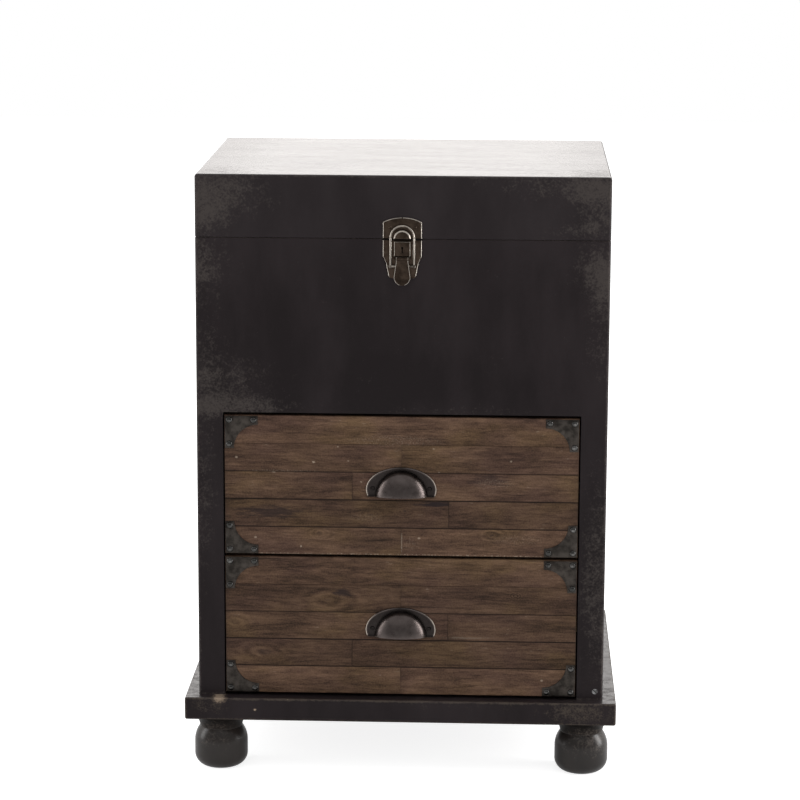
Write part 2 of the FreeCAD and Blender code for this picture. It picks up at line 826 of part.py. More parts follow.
def runner_screw_spots(low):
    """Screw heads on the inner face of a left runner."""
    x = -(box_half - runner_engagement)
    middle = (runner_start + runner_end) / 2
    stations = (runner_start + runner_screw_inset, middle, runner_end - runner_screw_inset)
    return [V(x, y, runner_middle(low)) for y in stations]


def runner_screw_length():
    """From the runner's inner face through it and into the side panel."""
    return inner_half - box_half + runner_engagement + runner_screw_grip


def left_runner(low):
    """Hardwood runner on the inner face of the left side panel."""
    middle = runner_middle(low)
    runner = board(
        (-inner_half, -(box_half - runner_engagement)),
        (runner_start, runner_end),
        (middle - runner_height / 2, middle + runner_height / 2),
    )
    runner = runner.makeFillet(edge_ease, edges_on(runner, y=runner_start))
    blank = countersunk_blank(runner_screw_length(), pilot_clearance)
    return single(runner.cut([placed(blank, spot, RIGHT) for spot in runner_screw_spots(low)]))


# Drawers

def drawer_left_side(low):
    """Left side of a drawer box, housed for its back, grooved for its bottom and its runner."""
    z0 = low + drawer_side_rise
    z1 = z0 + drawer_side_height
    inner = -(box_half - drawer_board)
    side = board((-box_half, inner), (box_start - drawer_housing, box_end), (z0, z1))
    bottom_low = z0 + drawer_bottom_rise
    bottom_groove = board(
        (inner - drawer_bottom_groove, inner),
        (box_start - drawer_housing, box_end - drawer_back_inset),
        (bottom_low, bottom_low + drawer_bottom_thickness),
    )
    back_y = box_end - drawer_back_inset
    back_housing = board(
        (inner - drawer_housing, inner), (back_y - drawer_board, back_y), (bottom_low, z1)
    )
    middle = runner_middle(low)
    half = runner_height / 2 + runner_clearance
    runner_groove = board(
        (-box_half, -(box_half - runner_engagement - runner_clearance)),
        (runner_start - runner_clearance, box_end),
        (middle - half, middle + half),
    )
    return single(side.cut([bottom_groove, back_housing, runner_groove]))


def drawer_back(low):
    """Back of a drawer box, standing on the bottom panel in housings of the sides."""
    z0 = low + drawer_side_rise
    reach = box_half - drawer_board + drawer_housing
    back_y = box_end - drawer_back_inset
    return board(
        (-reach, reach),
        (back_y - drawer_board, back_y),
        (z0 + drawer_bottom_rise + drawer_bottom_thickness, z0 + drawer_side_height),
    )


def drawer_bottom(low):
    """Bottom panel in the grooves of the sides and the front board."""
    reach = box_half - drawer_board + drawer_bottom_groove
    z0 = low + drawer_side_rise + drawer_bottom_rise
    return board(
        (-reach, reach),
        (box_start - drawer_bottom_groove, box_end - drawer_back_inset),
        (z0, z0 + drawer_bottom_thickness),
    )


def drawer_front_board(low, screw_holes):
    """Front board behind the facing strips, housed for the sides and grooved for the bottom."""
    panel = board(
        (-drawer_front_half, drawer_front_half),
        (front + plank_thickness, box_start),
        (low, low + drawer_front_height),
    )
    side_low = low + drawer_side_rise
    housing = board(
        (-box_half, -(box_half - drawer_board)),
        (box_start - drawer_housing, box_start),
        (side_low, side_low + drawer_side_height),
    )
    reach = box_half - drawer_board + drawer_bottom_groove
    groove_low = side_low + drawer_bottom_rise
    groove = board(
        (-reach, reach),
        (box_start - drawer_bottom_groove, box_start),
        (groove_low, groove_low + drawer_bottom_thickness),
    )
    return single(panel.cut([housing, mirrored(housing), groove] + screw_holes))


def plank_strips(low, joints, holes):
    """Facing strips in rows, top row first, each row whole or in two lengths."""
    row_height = drawer_front_height / plank_rows
    strips = []
    for row, joint in enumerate(joints):
        z1 = low + drawer_front_height - row * row_height
        ends = [-drawer_front_half, drawer_front_half] if joint is None else [
            -drawer_front_half, joint, drawer_front_half
        ]
        for x0, x1 in zip(ends, ends[1:]):
            strip = board((x0, x1), (front, front + plank_thickness), (z1 - row_height, z1))
            strip = strip.makeChamfer(plank_ease, edges_on(strip, y=front))
            strips.append(single(strip.cut(holes)))
    return strips


def corner_spots(low):
    """The four corners of a front, each with the signs that point to its middle."""
    high = low + drawer_front_height - plate_inset
    low = low + plate_inset
    edge = drawer_front_half - plate_inset
    return [(-edge, low, 1, 1), (edge, low, -1, 1), (-edge, high, 1, -1), (edge, high, -1, -1)]


def rivet_spots(low):
    """Rivet centres on the face of the corner plates."""
    far = rivet_inset + rivet_spacing
    y = front - plate_thickness
    spots = []
    for x, z, sx, sz in corner_spots(low):
        for dx, dz in ((rivet_inset, rivet_inset), (far, rivet_inset), (rivet_inset, far)):
            spots.append(V(x + sx * dx, y, z + sz * dz))
    return spots


def corner_point(corner, across, along):
    """A point of a corner plate's outline, measured in from the corner of the front."""
    x, z, towards_x, towards_z = corner
    return V(x + towards_x * across, front, z + towards_z * along)


def corner_plates(low, holes):
    """L-shaped plates whose inner edge is a hollow quarter round."""
    hollow = plate_leg - (plate_leg - plate_leg_width) * math.sqrt(0.5)
    plates = []
    for corner in corner_spots(low):
        tip = corner_point(corner, 0, 0)
        foot = corner_point(corner, plate_leg, 0)
        foot_inner = corner_point(corner, plate_leg, plate_leg_width)
        waist = corner_point(corner, hollow, hollow)
        head_inner = corner_point(corner, plate_leg_width, plate_leg)
        head = corner_point(corner, 0, plate_leg)
        edges = [
            line(tip, foot),
            line(foot, foot_inner),
            arc(foot_inner, waist, head_inner),
            line(head_inner, head),
            line(head, tip),
        ]
        plates.append(single(face_of(edges).extrude(FRONT * plate_thickness).cut(holes)))
    return plates


def pull_flange(margin, thickness):
    """The pull's back plate: an oval, drawn in by a margin and cut straight along its lower edge."""
    half = pull_flange_width / 2 - margin
    height = pull_flange_height - pull_flange_middle - margin
    middle = V(0, 0, pull_flange_middle)
    oval = Part.Ellipse(middle + RIGHT * half, middle + UP * height, middle)
    blank = face_of([oval.toShape()]).extrude(FRONT * thickness)
    keep = board((-pull_flange_width, pull_flange_width), (-thickness, 0), (margin, pull_flange_height))
    return single(blank.common(keep))


def hood_dome(wall):
    """A pressed dome: upright sides that turn through a knuckle into a flatter crown, cut off at the lip."""
    half = pull_hood_width / 2
    reach = pull_hood_reach
    knuckle = pull_hood_knuckle
    crown = ((half - knuckle) ** 2 + reach**2 - knuckle**2) / (2 * (reach - knuckle))
    turn = math.asin((half - knuckle) / (crown - knuckle))

    def on_knuckle(angle):
        return V(0, -(knuckle - wall) * math.cos(angle), -(half - knuckle) - (knuckle - wall) * math.sin(angle))

    def on_crown(angle):
        return V(0, crown - reach - (crown - wall) * math.cos(angle), -(crown - wall) * math.sin(angle))

    side = on_knuckle(math.pi / 2)
    blend = on_knuckle(turn)
    tip = on_crown(0)
    profile = [
        line(ORIGIN, side),
        arc(side, on_knuckle((turn + math.pi / 2) / 2), blend),
        arc(blend, on_crown(turn / 2), tip),
        line(tip, ORIGIN),
    ]
    dome = face_of(profile).revolve(ORIGIN, FRONT, 360)
    corners = [(0, 0), (-reach, pull_lip_rise), (-reach, half), (0, half)]
    outline = closed_path([V(-half, y, z) for y, z in corners])
    keep = face_of(outline).extrude(RIGHT * pull_hood_width)
    return single(dome.common(keep))


def cup_pull(low):
    """Cup pull: a rimmed back plate and a hood that is open below and behind."""
    flange = pull_flange(0, pull_flange_thickness)
    rim_blank = pull_flange(0, pull_flange_thickness + pull_rim_height)
    rim_ring = single(rim_blank.cut(pull_flange(pull_rim_width, pull_flange_thickness + pull_rim_height)))
    mouth_half = pull_hood_width / 2
    mouth = board(
        (-mouth_half, mouth_half), (-pull_hood_reach, -pull_flange_thickness), (0, pull_rim_width)
    )
    pull = joined([flange, single(rim_ring.cut(mouth)), hood_dome(0)])
    pull = single(pull.cut(hood_dome(pull_hood_wall)))
    pull = pull.translated(V(0, front, pull_edge(low)))
    return single(pull.cut([pull_screw_hole(spot) for spot in pull_screw_spots(low)]))


def pull_edge(low):
    """Height of a pull's lower edge."""
    return low + drawer_front_height / 2 - pull_drop


def pull_screw_spots(low):
    """Bearing points of the two pull screws."""
    y = front - pull_flange_thickness
    z = pull_edge(low) + pull_screw_rise
    return [V(side * pull_screw_spacing / 2, y, z) for side in (-1, 1)]


def pull_screw_hole(spot):
    """Hole for one pull screw."""
    return shank_hole(pull_screw_shank_radius, pull_screw_length, spot, FRONT)


def save_drawer(name, low, joints):
    """All the pieces of one drawer."""
    rivet = button_headed(rivet_head_radius, rivet_head_height, rivet_shank_radius, rivet_shank_length)
    screw = button_headed(
        pull_screw_head_radius, pull_screw_head_height, pull_screw_shank_radius, pull_screw_length
    )
    rivet_holes = []
    for spot in rivet_spots(low):
        rivet_holes.append(shank_hole(rivet_shank_radius, rivet_shank_length, spot, FRONT))
    screw_holes = [pull_screw_hole(spot) for spot in pull_screw_spots(low)]
    side = drawer_left_side(low)
    save(name + "_drawer_front", [drawer_front_board(low, screw_holes)])
    save(name + "_drawer_planks", plank_strips(low, joints, rivet_holes + screw_holes))
    save(name + "_drawer_side_left", [side])
    save(name + "_drawer_side_right", [mirrored(side)])
    save(name + "_drawer_back", [drawer_back(low)])
    save(name + "_drawer_bottom", [drawer_bottom(low)])
    save(name + "_corner_plates", corner_plates(low, rivet_holes))
    save(name + "_corner_rivets", [placed(rivet, spot, FRONT) for spot in rivet_spots(low)])
    save(name + "_cup_pull", [cup_pull(low)])
    save(name + "_pull_screws", [placed(screw, spot, FRONT) for spot in pull_screw_spots(low)])


def save_case():
    """Plinth, feet, case boards, runners and the screws that hold them."""
    save("base_board", [plinth_board()])
    foot = turned_foot()
    for name, spot in foot_spots().items():
        save(name, [foot.translated(spot)])
    runner_holes = []
    runner_screws = []
    screw = countersunk_blank(runner_screw_length(), 0)
    blank = countersunk_blank(runner_screw_length(), pilot_clearance)
    for name, low in drawer_lows().items():
        runner = left_runner(low)
        save(name + "_runner_left", [runner])
        save(name + "_runner_right", [mirrored(runner)])
        for spot in runner_screw_spots(low):
            runner_holes.append(placed(blank, spot, RIGHT))
            left_screw = placed(screw, spot, RIGHT)
            runner_screws.extend([left_screw, mirrored(left_screw)])
    save("runner_screws", runner_screws)
    stile_screw = placed(slotted_screw(stile_screw_length), stile_screw_spot(), FRONT)
    stile_hole = placed(countersunk_blank(stile_screw_length, pilot_clearance), stile_screw_spot(), FRONT)
    side = single(left_side_panel().cut(runner_holes))
    save("side_panel_left", [side])
    save("side_panel_right", [single(mirrored(side).cut(stile_hole))])
    save("front_panel", [front_panel()])
    save("stile_left", [left_stile()])
    save("stile_right", [single(mirrored(left_stile()).cut(stile_hole))])
    save("stile_screw", [stile_screw])
    save("back_panel", [back_panel()])
    save("back_rail", [back_rail()])
    save("trunk_floor", [trunk_floor()])


def save_lid():
    """Boards of the lid."""
    side = lid_left_wall()
    save("lid_top", [lid_top()])
    save("lid_front_wall", [lid_front_wall()])
    save("lid_back_wall", [lid_back_wall()])
    save("lid_left_wall", [side])
    save("lid_right_wall", [mirrored(side)])


os.makedirs("parts", exist_ok=True)
save_case()
save_lid()
save_hinges()
save_latch()
for drawer_name, plank_joints in (("upper", upper_plank_joints), ("lower", lower_plank_joints)):
    save_drawer(drawer_name, drawer_lows()[drawer_name], plank_joints)
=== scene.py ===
"""Looks of a lift-lid trunk dresser: rubbed black paint, dark pine strips and aged metal.

Metres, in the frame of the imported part: +Z is up, the front faces -Y, +X is to the right.
"""
from __future__ import annotations

import json
import logging
import math
import random
from dataclasses import dataclass, field
from enum import Enum
from typing import Any, Iterable, Sequence

import bmesh
import bpy
from mathutils import Matrix, Vector

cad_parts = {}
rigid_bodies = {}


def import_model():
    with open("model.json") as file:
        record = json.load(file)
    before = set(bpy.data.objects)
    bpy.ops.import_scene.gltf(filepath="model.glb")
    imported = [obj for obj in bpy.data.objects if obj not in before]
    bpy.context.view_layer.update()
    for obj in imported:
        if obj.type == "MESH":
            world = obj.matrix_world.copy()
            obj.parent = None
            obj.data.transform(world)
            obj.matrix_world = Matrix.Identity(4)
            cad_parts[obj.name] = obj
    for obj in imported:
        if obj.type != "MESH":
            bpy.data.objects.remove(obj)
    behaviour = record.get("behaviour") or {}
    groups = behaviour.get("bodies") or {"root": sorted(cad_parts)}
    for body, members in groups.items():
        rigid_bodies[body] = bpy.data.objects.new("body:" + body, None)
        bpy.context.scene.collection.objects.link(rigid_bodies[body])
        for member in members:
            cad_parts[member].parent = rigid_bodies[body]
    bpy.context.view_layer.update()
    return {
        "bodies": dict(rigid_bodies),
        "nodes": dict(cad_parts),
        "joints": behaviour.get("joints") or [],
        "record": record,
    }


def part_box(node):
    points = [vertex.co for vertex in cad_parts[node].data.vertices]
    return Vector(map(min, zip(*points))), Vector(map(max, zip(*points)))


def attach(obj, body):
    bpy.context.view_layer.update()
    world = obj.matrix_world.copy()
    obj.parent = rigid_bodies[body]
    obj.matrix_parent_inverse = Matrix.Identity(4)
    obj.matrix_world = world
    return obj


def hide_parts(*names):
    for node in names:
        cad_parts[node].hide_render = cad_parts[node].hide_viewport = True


LOG = logging.getLogger("trunk_dresser")

# Names of the numbers that meshes carry for their finishes
EDGE = "edge"
STRIP = "strip"
TONE = "tone"

# Edge mark of a place darkened as painted shade, and of one that nothing has rubbed
PAINTED_SHADE = -1.0
PLAIN = 0.0

# Slotted screw heads: shares of the radius and of the height, and how dirty they are
CROWN_SHARE = 0.8
SLOT_SHARE = 0.32
SLOT_DEPTH = 0.55
SCREW_DIRT = -0.7

# Share of a rivet's height, from its foot, that is left unbrightened; above it the crown is painted
# bright as rubbed iron and painted glint
RIVET_FOOT = 0.2

# Sides of round forms and steps of bends
LARGE_ROUND = 72
SCREW_SIDES = 24
DOME_SIDES = 20
DOME_ROWS = 10
LIP_SIDES = 12
BEND_STEPS = 10
LONG_BEND_STEPS = 16

# Angles in degrees above which an edge stays sharp: on most pieces, flat ones and eased ones
CREASE = 35.0
FLAT_CREASE = 12.0
EASED_CREASE = 50.0

# Part of a normal along a direction from which its face counts as facing it, or as flat across it
FACING = 0.9
FLAT = 0.999

# Distance within which vertices are joined, and angle in degrees within which faces are
WELD = 1e-6
FLAT_LIMIT = 1.0

# Turn that makes what looks up look to the front
FRONTWARD = Matrix.Rotation(math.pi / 2, 3, "X")

Colour = tuple[float, float, float]
Point = tuple[float, float, float]


class Side(Enum):
    """Left or right of the middle plane."""

    LEFT = -1
    RIGHT = 1


class Grain(Enum):
    """Direction in which a board's grain runs."""

    ACROSS = 0
    DEPTH = 1
    UPRIGHT = 2


# Shader maths
class Shade:
    """A node's output socket, with arithmetic that adds Math nodes."""

    def __init__(self, graph: Graph, socket: bpy.types.NodeSocket) -> None:
        """Wrap one output socket of a graph."""
        self.graph = graph
        self.socket = socket

    def __add__(self, other: Shade | float) -> Shade:
        """Sum."""
        return self.graph.maths("ADD", self, other)

    def __radd__(self, other: float) -> Shade:
        """Sum with a number on the left."""
        return self.graph.maths("ADD", other, self)

    def __sub__(self, other: Shade | float) -> Shade:
        """Difference."""
        return self.graph.maths("SUBTRACT", self, other)

    def __rsub__(self, other: float) -> Shade:
        """Difference from a number on the left."""
        return self.graph.maths("SUBTRACT", other, self)

    def __mul__(self, other: Shade | float) -> Shade:
        """Product."""
        return self.graph.maths("MULTIPLY", self, other)

    def __rmul__(self, other: float) -> Shade:
        """Product with a number on the left."""
        return self.graph.maths("MULTIPLY", other, self)

    def __truediv__(self, other: Shade | float) -> Shade:
        """Quotient."""
        return self.graph.maths("DIVIDE", self, other)

    def __rtruediv__(self, other: float) -> Shade:
        """Quotient of a number on the left."""
        return self.graph.maths("DIVIDE", other, self)

    def __abs__(self) -> Shade:
        """Size without sign."""
        return self.graph.maths("ABSOLUTE", self)

    def lowest(self, other: Shade | float) -> Shade:
        """The smaller of two values."""
        return self.graph.maths("MINIMUM", self, other)

    def highest(self, other: Shade | float) -> Shade:
        """The larger of two values."""
        return self.graph.maths("MAXIMUM", self, other)

    def over(self, low: float, high: float) -> Shade:
        """A smooth rise from 0 at low to 1 at high.

        Args:
            low: Value at and below which the result is 0.
            high: Value at and above which the result is 1.

        Returns:
            The eased value.
        """
        return self.graph.shade(
            "MapRange",
            {"interpolation_type": "SMOOTHSTEP"},
            {"Value": self, "From Min": low, "From Max": high},
        )


class Graph:
    """A node tree that is filled by one node-making method."""

    def __init__(self, tree: bpy.types.NodeTree) -> None:
        """Empty the tree and take it over."""
        self.tree = tree
        tree.nodes.clear()

    def node(
        self,
        kind: str,
        settings: dict[str, Any] | None = None,
        inputs: dict[str | int, Any] | None = None,
    ) -> bpy.types.Node:
        """Add a node.

        Args:
            kind: Node type without its ShaderNode prefix.
            settings: Node properties, set first. "stops" fills a colour ramp.
            inputs: Numbers, colours or shades for its input sockets, by name or index.

        Returns:
            The new node.
        """
        made = self.tree.nodes.new("ShaderNode" + kind)
        for name, value in (settings or {}).items():
            if name == "stops":
                self._fill_ramp(made.color_ramp, value)
            else:
                setattr(made, name, value)
        for key, value in (inputs or {}).items():
            if isinstance(value, Shade):
                self.tree.links.new(value.socket, made.inputs[key])
            elif isinstance(value, tuple) and made.inputs[key].type == "RGBA":
                made.inputs[key].default_value = (*value, 1.0)
            else:
                made.inputs[key].default_value = value
        return made

    @staticmethod
    def _fill_ramp(ramp: bpy.types.ColorRamp, stops: Sequence[tuple[float, Colour]]) -> None:
        """Give a ramp its stops.

        Args:
            ramp: The ramp.
            stops: Place and colour of each stop, in order.
        """
        while len(ramp.elements) < len(stops):
            ramp.elements.new(0.5)
        for element, (place, colour) in zip(ramp.elements, stops):
            element.position = place
            element.color = (*colour, 1.0)

    def shade(
        self,
        kind: str,
        settings: dict[str, Any] | None = None,
        inputs: dict[str | int, Any] | None = None,
        output: int = 0,
    ) -> Shade:
        """Add a node and return one of its outputs.

        Args:
            kind: Node type without its ShaderNode prefix.
            settings: Node properties.
            inputs: Values or shades for its input sockets.
            output: Index of the output wanted.

        Returns:
            That output as a shade.
        """
        return Shade(self, self.node(kind, settings, inputs).outputs[output])

    def maths(self, operation: str, *values: Shade | float) -> Shade:
        """A Math node's result."""
        return self.shade("Math", {"operation": operation}, dict(enumerate(values)))

    def place(self) -> tuple[Shade, Shade, Shade]:
        """Object coordinates.

        Returns:
            X, Y and Z as three shades.
        """
        spot = self.shade("TexCoord", output=3)
        parts = self.node("SeparateXYZ", inputs={0: spot})
        return tuple(Shade(self, socket) for socket in parts.outputs)

    def join(self, x: Shade | float, y: Shade | float, z: Shade | float) -> Shade:
        """Three values as a vector."""
        return self.shade("CombineXYZ", inputs={0: x, 1: y, 2: z})

    def noise(self, spot: Shade, scale: float, detail: float = 3.0, rough: float = 0.55) -> Shade:
        """Cloudy noise, about 0.5 on average.

        Args:
            spot: Vector to read it at.
            scale: Repeats per metre.
            detail: Octaves.
            rough: Weight of the finer octaves.

        Returns:
            The noise value.
        """
        return self.shade(
            "TexNoise", None, {"Vector": spot, "Scale": scale, "Detail": detail, "Roughness": rough}
        )

    def cells(self, spot: Shade, scale: float) -> tuple[Shade, Shade]:
        """Scattered points.

        Args:
            spot: Vector to read them at.
            scale: Points per metre.

        Returns:
            Distance to the nearest point, and a random value for that point.
        """
        made = self.node("TexVoronoi", None, {"Vector": spot, "Scale": scale})
        parts = self.node("SeparateXYZ", None, {0: Shade(self, made.outputs[1])})
        return Shade(self, made.outputs[0]), Shade(self, parts.outputs[0])

    def mix(self, factor: Shade | float, first: Any, second: Any, blend: str = "MIX") -> Shade:
        """A colour between two colours.

        Args:
            factor: 0 for the first, 1 for the second.
            first: Colour or shade.
            second: Colour or shade.
            blend: Blend type of the Mix node.

        Returns:
            The mixed colour.
        """
        return self.shade(
            "Mix",
            {"data_type": "RGBA", "blend_type": blend},
            {0: factor, 6: first, 7: second},
            output=2,
        )

    def ramp(self, factor: Shade, stops: Sequence[tuple[float, Colour]]) -> Shade:
        """A colour read off a ramp."""
        return self.shade("ValToRGB", {"stops": stops}, {0: factor})

    def attribute(self, name: str) -> Shade:
        """A number stored on the mesh."""
        return self.shade("Attribute", {"attribute_name": name}, output=2)

    def bump(self, height: Shade, depth: float, strength: float = 1.0) -> Shade:
        """A normal raised by a height.

        Args:
            height: Height between 0 and 1.
            depth: Metres that a height of 1 stands for.
            strength: Share of the effect.

        Returns:
            The normal.
        """
        return self.shade("Bump", None, {"Height": height, "Distance": depth, "Strength": strength})


# Finishes
@dataclass(frozen=True)
class Finish:
    """A material made of nodes. Each finish fills the shader's sockets in its own way."""

    name: str

    def sockets(self, graph: Graph) -> dict[str, Any]:
        """Values and shades for the shader's sockets."""
        raise NotImplementedError

    def material(self) -> bpy.types.Material:
        """Make the material.

        Returns:
            The new material.
        """
        made = bpy.data.materials.new(self.name)
        made.use_nodes = True
        graph = Graph(made.node_tree)
        shader = graph.shade("BsdfPrincipled", None, self.sockets(graph))
        graph.node("OutputMaterial", None, {"Surface": shader})
        return made


@dataclass(frozen=True)
class Spot:
    """An oval place on the front: its middle, half width, half height and strength."""

    x: float
    z: float
    width: float
    height: float
    strength: float = 1.0

    def distance(self, graph: Graph, x: Shade, z: Shade) -> Shade:
        """Distance from the middle, 1 on the oval.

        Args:
            graph: Graph that the nodes go to.
            x: Place across.
            z: Place upwards.

        Returns:
            The distance.
        """
        across = (x - self.x) / self.width
        up = (z - self.z) / self.height
        return graph.maths("SQRT", across * across + up * up)

    def cover(
        self, graph: Graph, x: Shade, z: Shade, start: float, ragged: Shade | float = 0.0
    ) -> Shade:
        """How far the mark covers a place: its strength in the middle, nothing past the oval.

        Args:
            graph: Graph that the nodes go to.
            x: Place across.
            z: Place upwards.
            start: Distance from which the mark fades.
            ragged: What is added to the distance to break up the outline.

        Returns:
            The cover.
        """
        gap = self.distance(graph, x, z) + ragged
        return (1.0 - gap.over(start, 1.0)) * self.strength


@dataclass(frozen=True)
class BlackPaint(Finish):
    """Satin black paint over wood, mottled, and rubbed at corners and along the edges."""

    low: Point = (-1.0, -1.0, -1.0)
    high: Point = (1.0, 1.0, 1.0)
    rubs: tuple[Spot, ...] = ()
    chips: tuple[Spot, ...] = ()
    tones: tuple[Spot, ...] = ()
    seam: float = 0.0
    seam_width: float = 0.0005
    seam_wood: Colour = (0.0740, 0.0600, 0.0560)
    edge_width: float = 0.006
    edge_strength: float = 0.6
    black: Colour = (0.0108, 0.0078, 0.0084)
    soft_black: Colour = (0.0200, 0.0150, 0.0162)
    rubbed: Colour = (0.0600, 0.0505, 0.0460)
    bare: Colour = (0.1500, 0.1060, 0.0700)
    roughness: float = 0.42
    shine: float = 0.10
    polish: float = 0.0
    scratched: float = 0.0
    dull_ends: float = 0.0
    dull_width: float = 0.09
    waxed: float = 0.0
    waxed_top: float = 0.050
    waxed_fade: float = 0.004
    fade_start: float = -0.15
    fade_end: float = -0.07
    rub_cover: float = 0.72
    edge_cover: float = 0.8
    polish_roughness: float = 0.26
    polish_ior: float = 1.6
    wax_roughness: float = 0.28
    relief: float = 0.0005
    relief_strength: float = 0.3

    def edge_distance(self, spot: tuple[Shade, Shade, Shade]) -> Shade:
        """Distance along the surface to the nearest edge of the box that the boards make up.

        Args:
            spot: Place across, in depth and upwards.

        Returns:
            The distance in metres.
        """
        gaps = []
        for value, low, high in zip(spot, self.low, self.high):
            gaps.append((high - low) / 2 - abs(value - (high + low) / 2))
        smaller = gaps[0].lowest(gaps[1])
        larger = gaps[0].highest(gaps[1])
        return smaller.highest(larger.lowest(gaps[2]))

    def sockets(self, graph: Graph) -> dict[str, Any]:
        """Mottled black with rubbed patches, broken edges and a fine brushed bump.

        Args:
            graph: Graph that the nodes go to.

        Returns:
            Values and shades by socket name.
        """
        x, y, z = graph.place()
        spot = graph.join(x, y, z)
        cloud = graph.noise(graph.join(x, y, z * 0.35), 14.0, 5.0, 0.6)
        broad = graph.noise(spot, 32.0, 4.0, 0.6)
        patchy = graph.noise(spot, 120.0, 5.0, 0.66)
        speck = graph.noise(spot, 480.0, 3.0, 0.6)
        brushed = graph.noise(graph.join(x * 9.0, y * 2.0, z * 0.6), 90.0, 3.0)
        ragged = (broad - 0.5) * 1.1 + (patchy - 0.5) * 1.8 + (speck - 0.5) * 1.7
        wear: Shade | float = 0.0
        for rub in self.rubs:
            wear = rub.cover(graph, x, z, 0.1) + wear
        ahead = 1.0 - y.over(self.fade_start, self.fade_end)
        rubbed = (wear * ahead + ragged * 0.7).over(0.30, 1.08)
        near = 1.0 - self.edge_distance((x, y, z)).over(0.0005, self.edge_width)
        along_edges = (near * self.edge_strength + ragged * 0.6).over(0.42, 0.95)
        worn = rubbed.highest(along_edges * self.edge_cover)
        # Tone spots move the mix between black and soft black; on the case they paint sheen at the top
        # and a darker band above the drawers.
        depth = cloud.over(0.3, 0.75)
        for tone in self.tones:
            depth = depth + tone.cover(graph, x, z, 0.0)
        colour = graph.mix(depth, self.black, self.soft_black)
        colour = graph.mix(worn * self.rub_cover, colour, self.rubbed)
        deep = (near * 0.9 + ragged * 0.8).over(1.30, 1.6)
        for chip in self.chips:
            deep = deep.highest(chip.cover(graph, x, z, 0.20, ragged * 0.8) * ahead)
        colour = graph.mix(deep, colour, self.bare)
        if self.seam:
            inside = 1.0 - abs(z - self.seam).over(self.seam_width * 0.6, self.seam_width)
            colour = graph.mix(inside, colour, self.seam_wood)
        height = brushed * 0.4 + patchy * 0.5 - worn * 0.35
        inputs = {
            "Base Color": colour,
            "Roughness": cloud * 0.16 + worn * 0.2 + (self.roughness - 0.08),
            "Specular IOR Level": self.shine,
            "Normal": graph.bump(height, self.relief, self.relief_strength),
        }
        if self.polish:
            clean = (1.0 - worn * 0.2) * (1.0 - patchy.over(0.42, 0.62) * self.scratched)
            ends = (abs(x) + ragged * 0.04).over(self.high[0] - self.dull_width, self.high[0])
            clean = clean * (1.0 - ends * self.dull_ends)
            inputs["Coat Weight"] = self.polished(graph, (x, y, z)) * clean
            inputs["Coat Roughness"] = self.polish_roughness
            inputs["Coat IOR"] = self.polish_ior
        if self.waxed:
            bare = z.over(self.waxed_top - self.waxed_fade, self.waxed_top)
            inputs["Coat Weight"] = (1.0 - bare) * self.waxed
            inputs["Coat Roughness"] = self.wax_roughness
        return inputs

    def polished(self, graph: Graph, spot: tuple[Shade, Shade, Shade]) -> Shade:
        """Streaky polish on the top of the uppermost board.

        Args:
            graph: Graph that the nodes go to.
            spot: Place across, in depth and upwards.

        Returns:
            Weight of the polish.
        """
        x, y, z = spot
        streak = graph.noise(graph.join(x * 6.0, y * 26.0, 0.0), 1.0, 4.0, 0.6)
        top = z.over(self.high[2] - 0.0008, self.high[2] - 0.0002)
        return top * (streak * 0.36 + 0.82) * self.polish


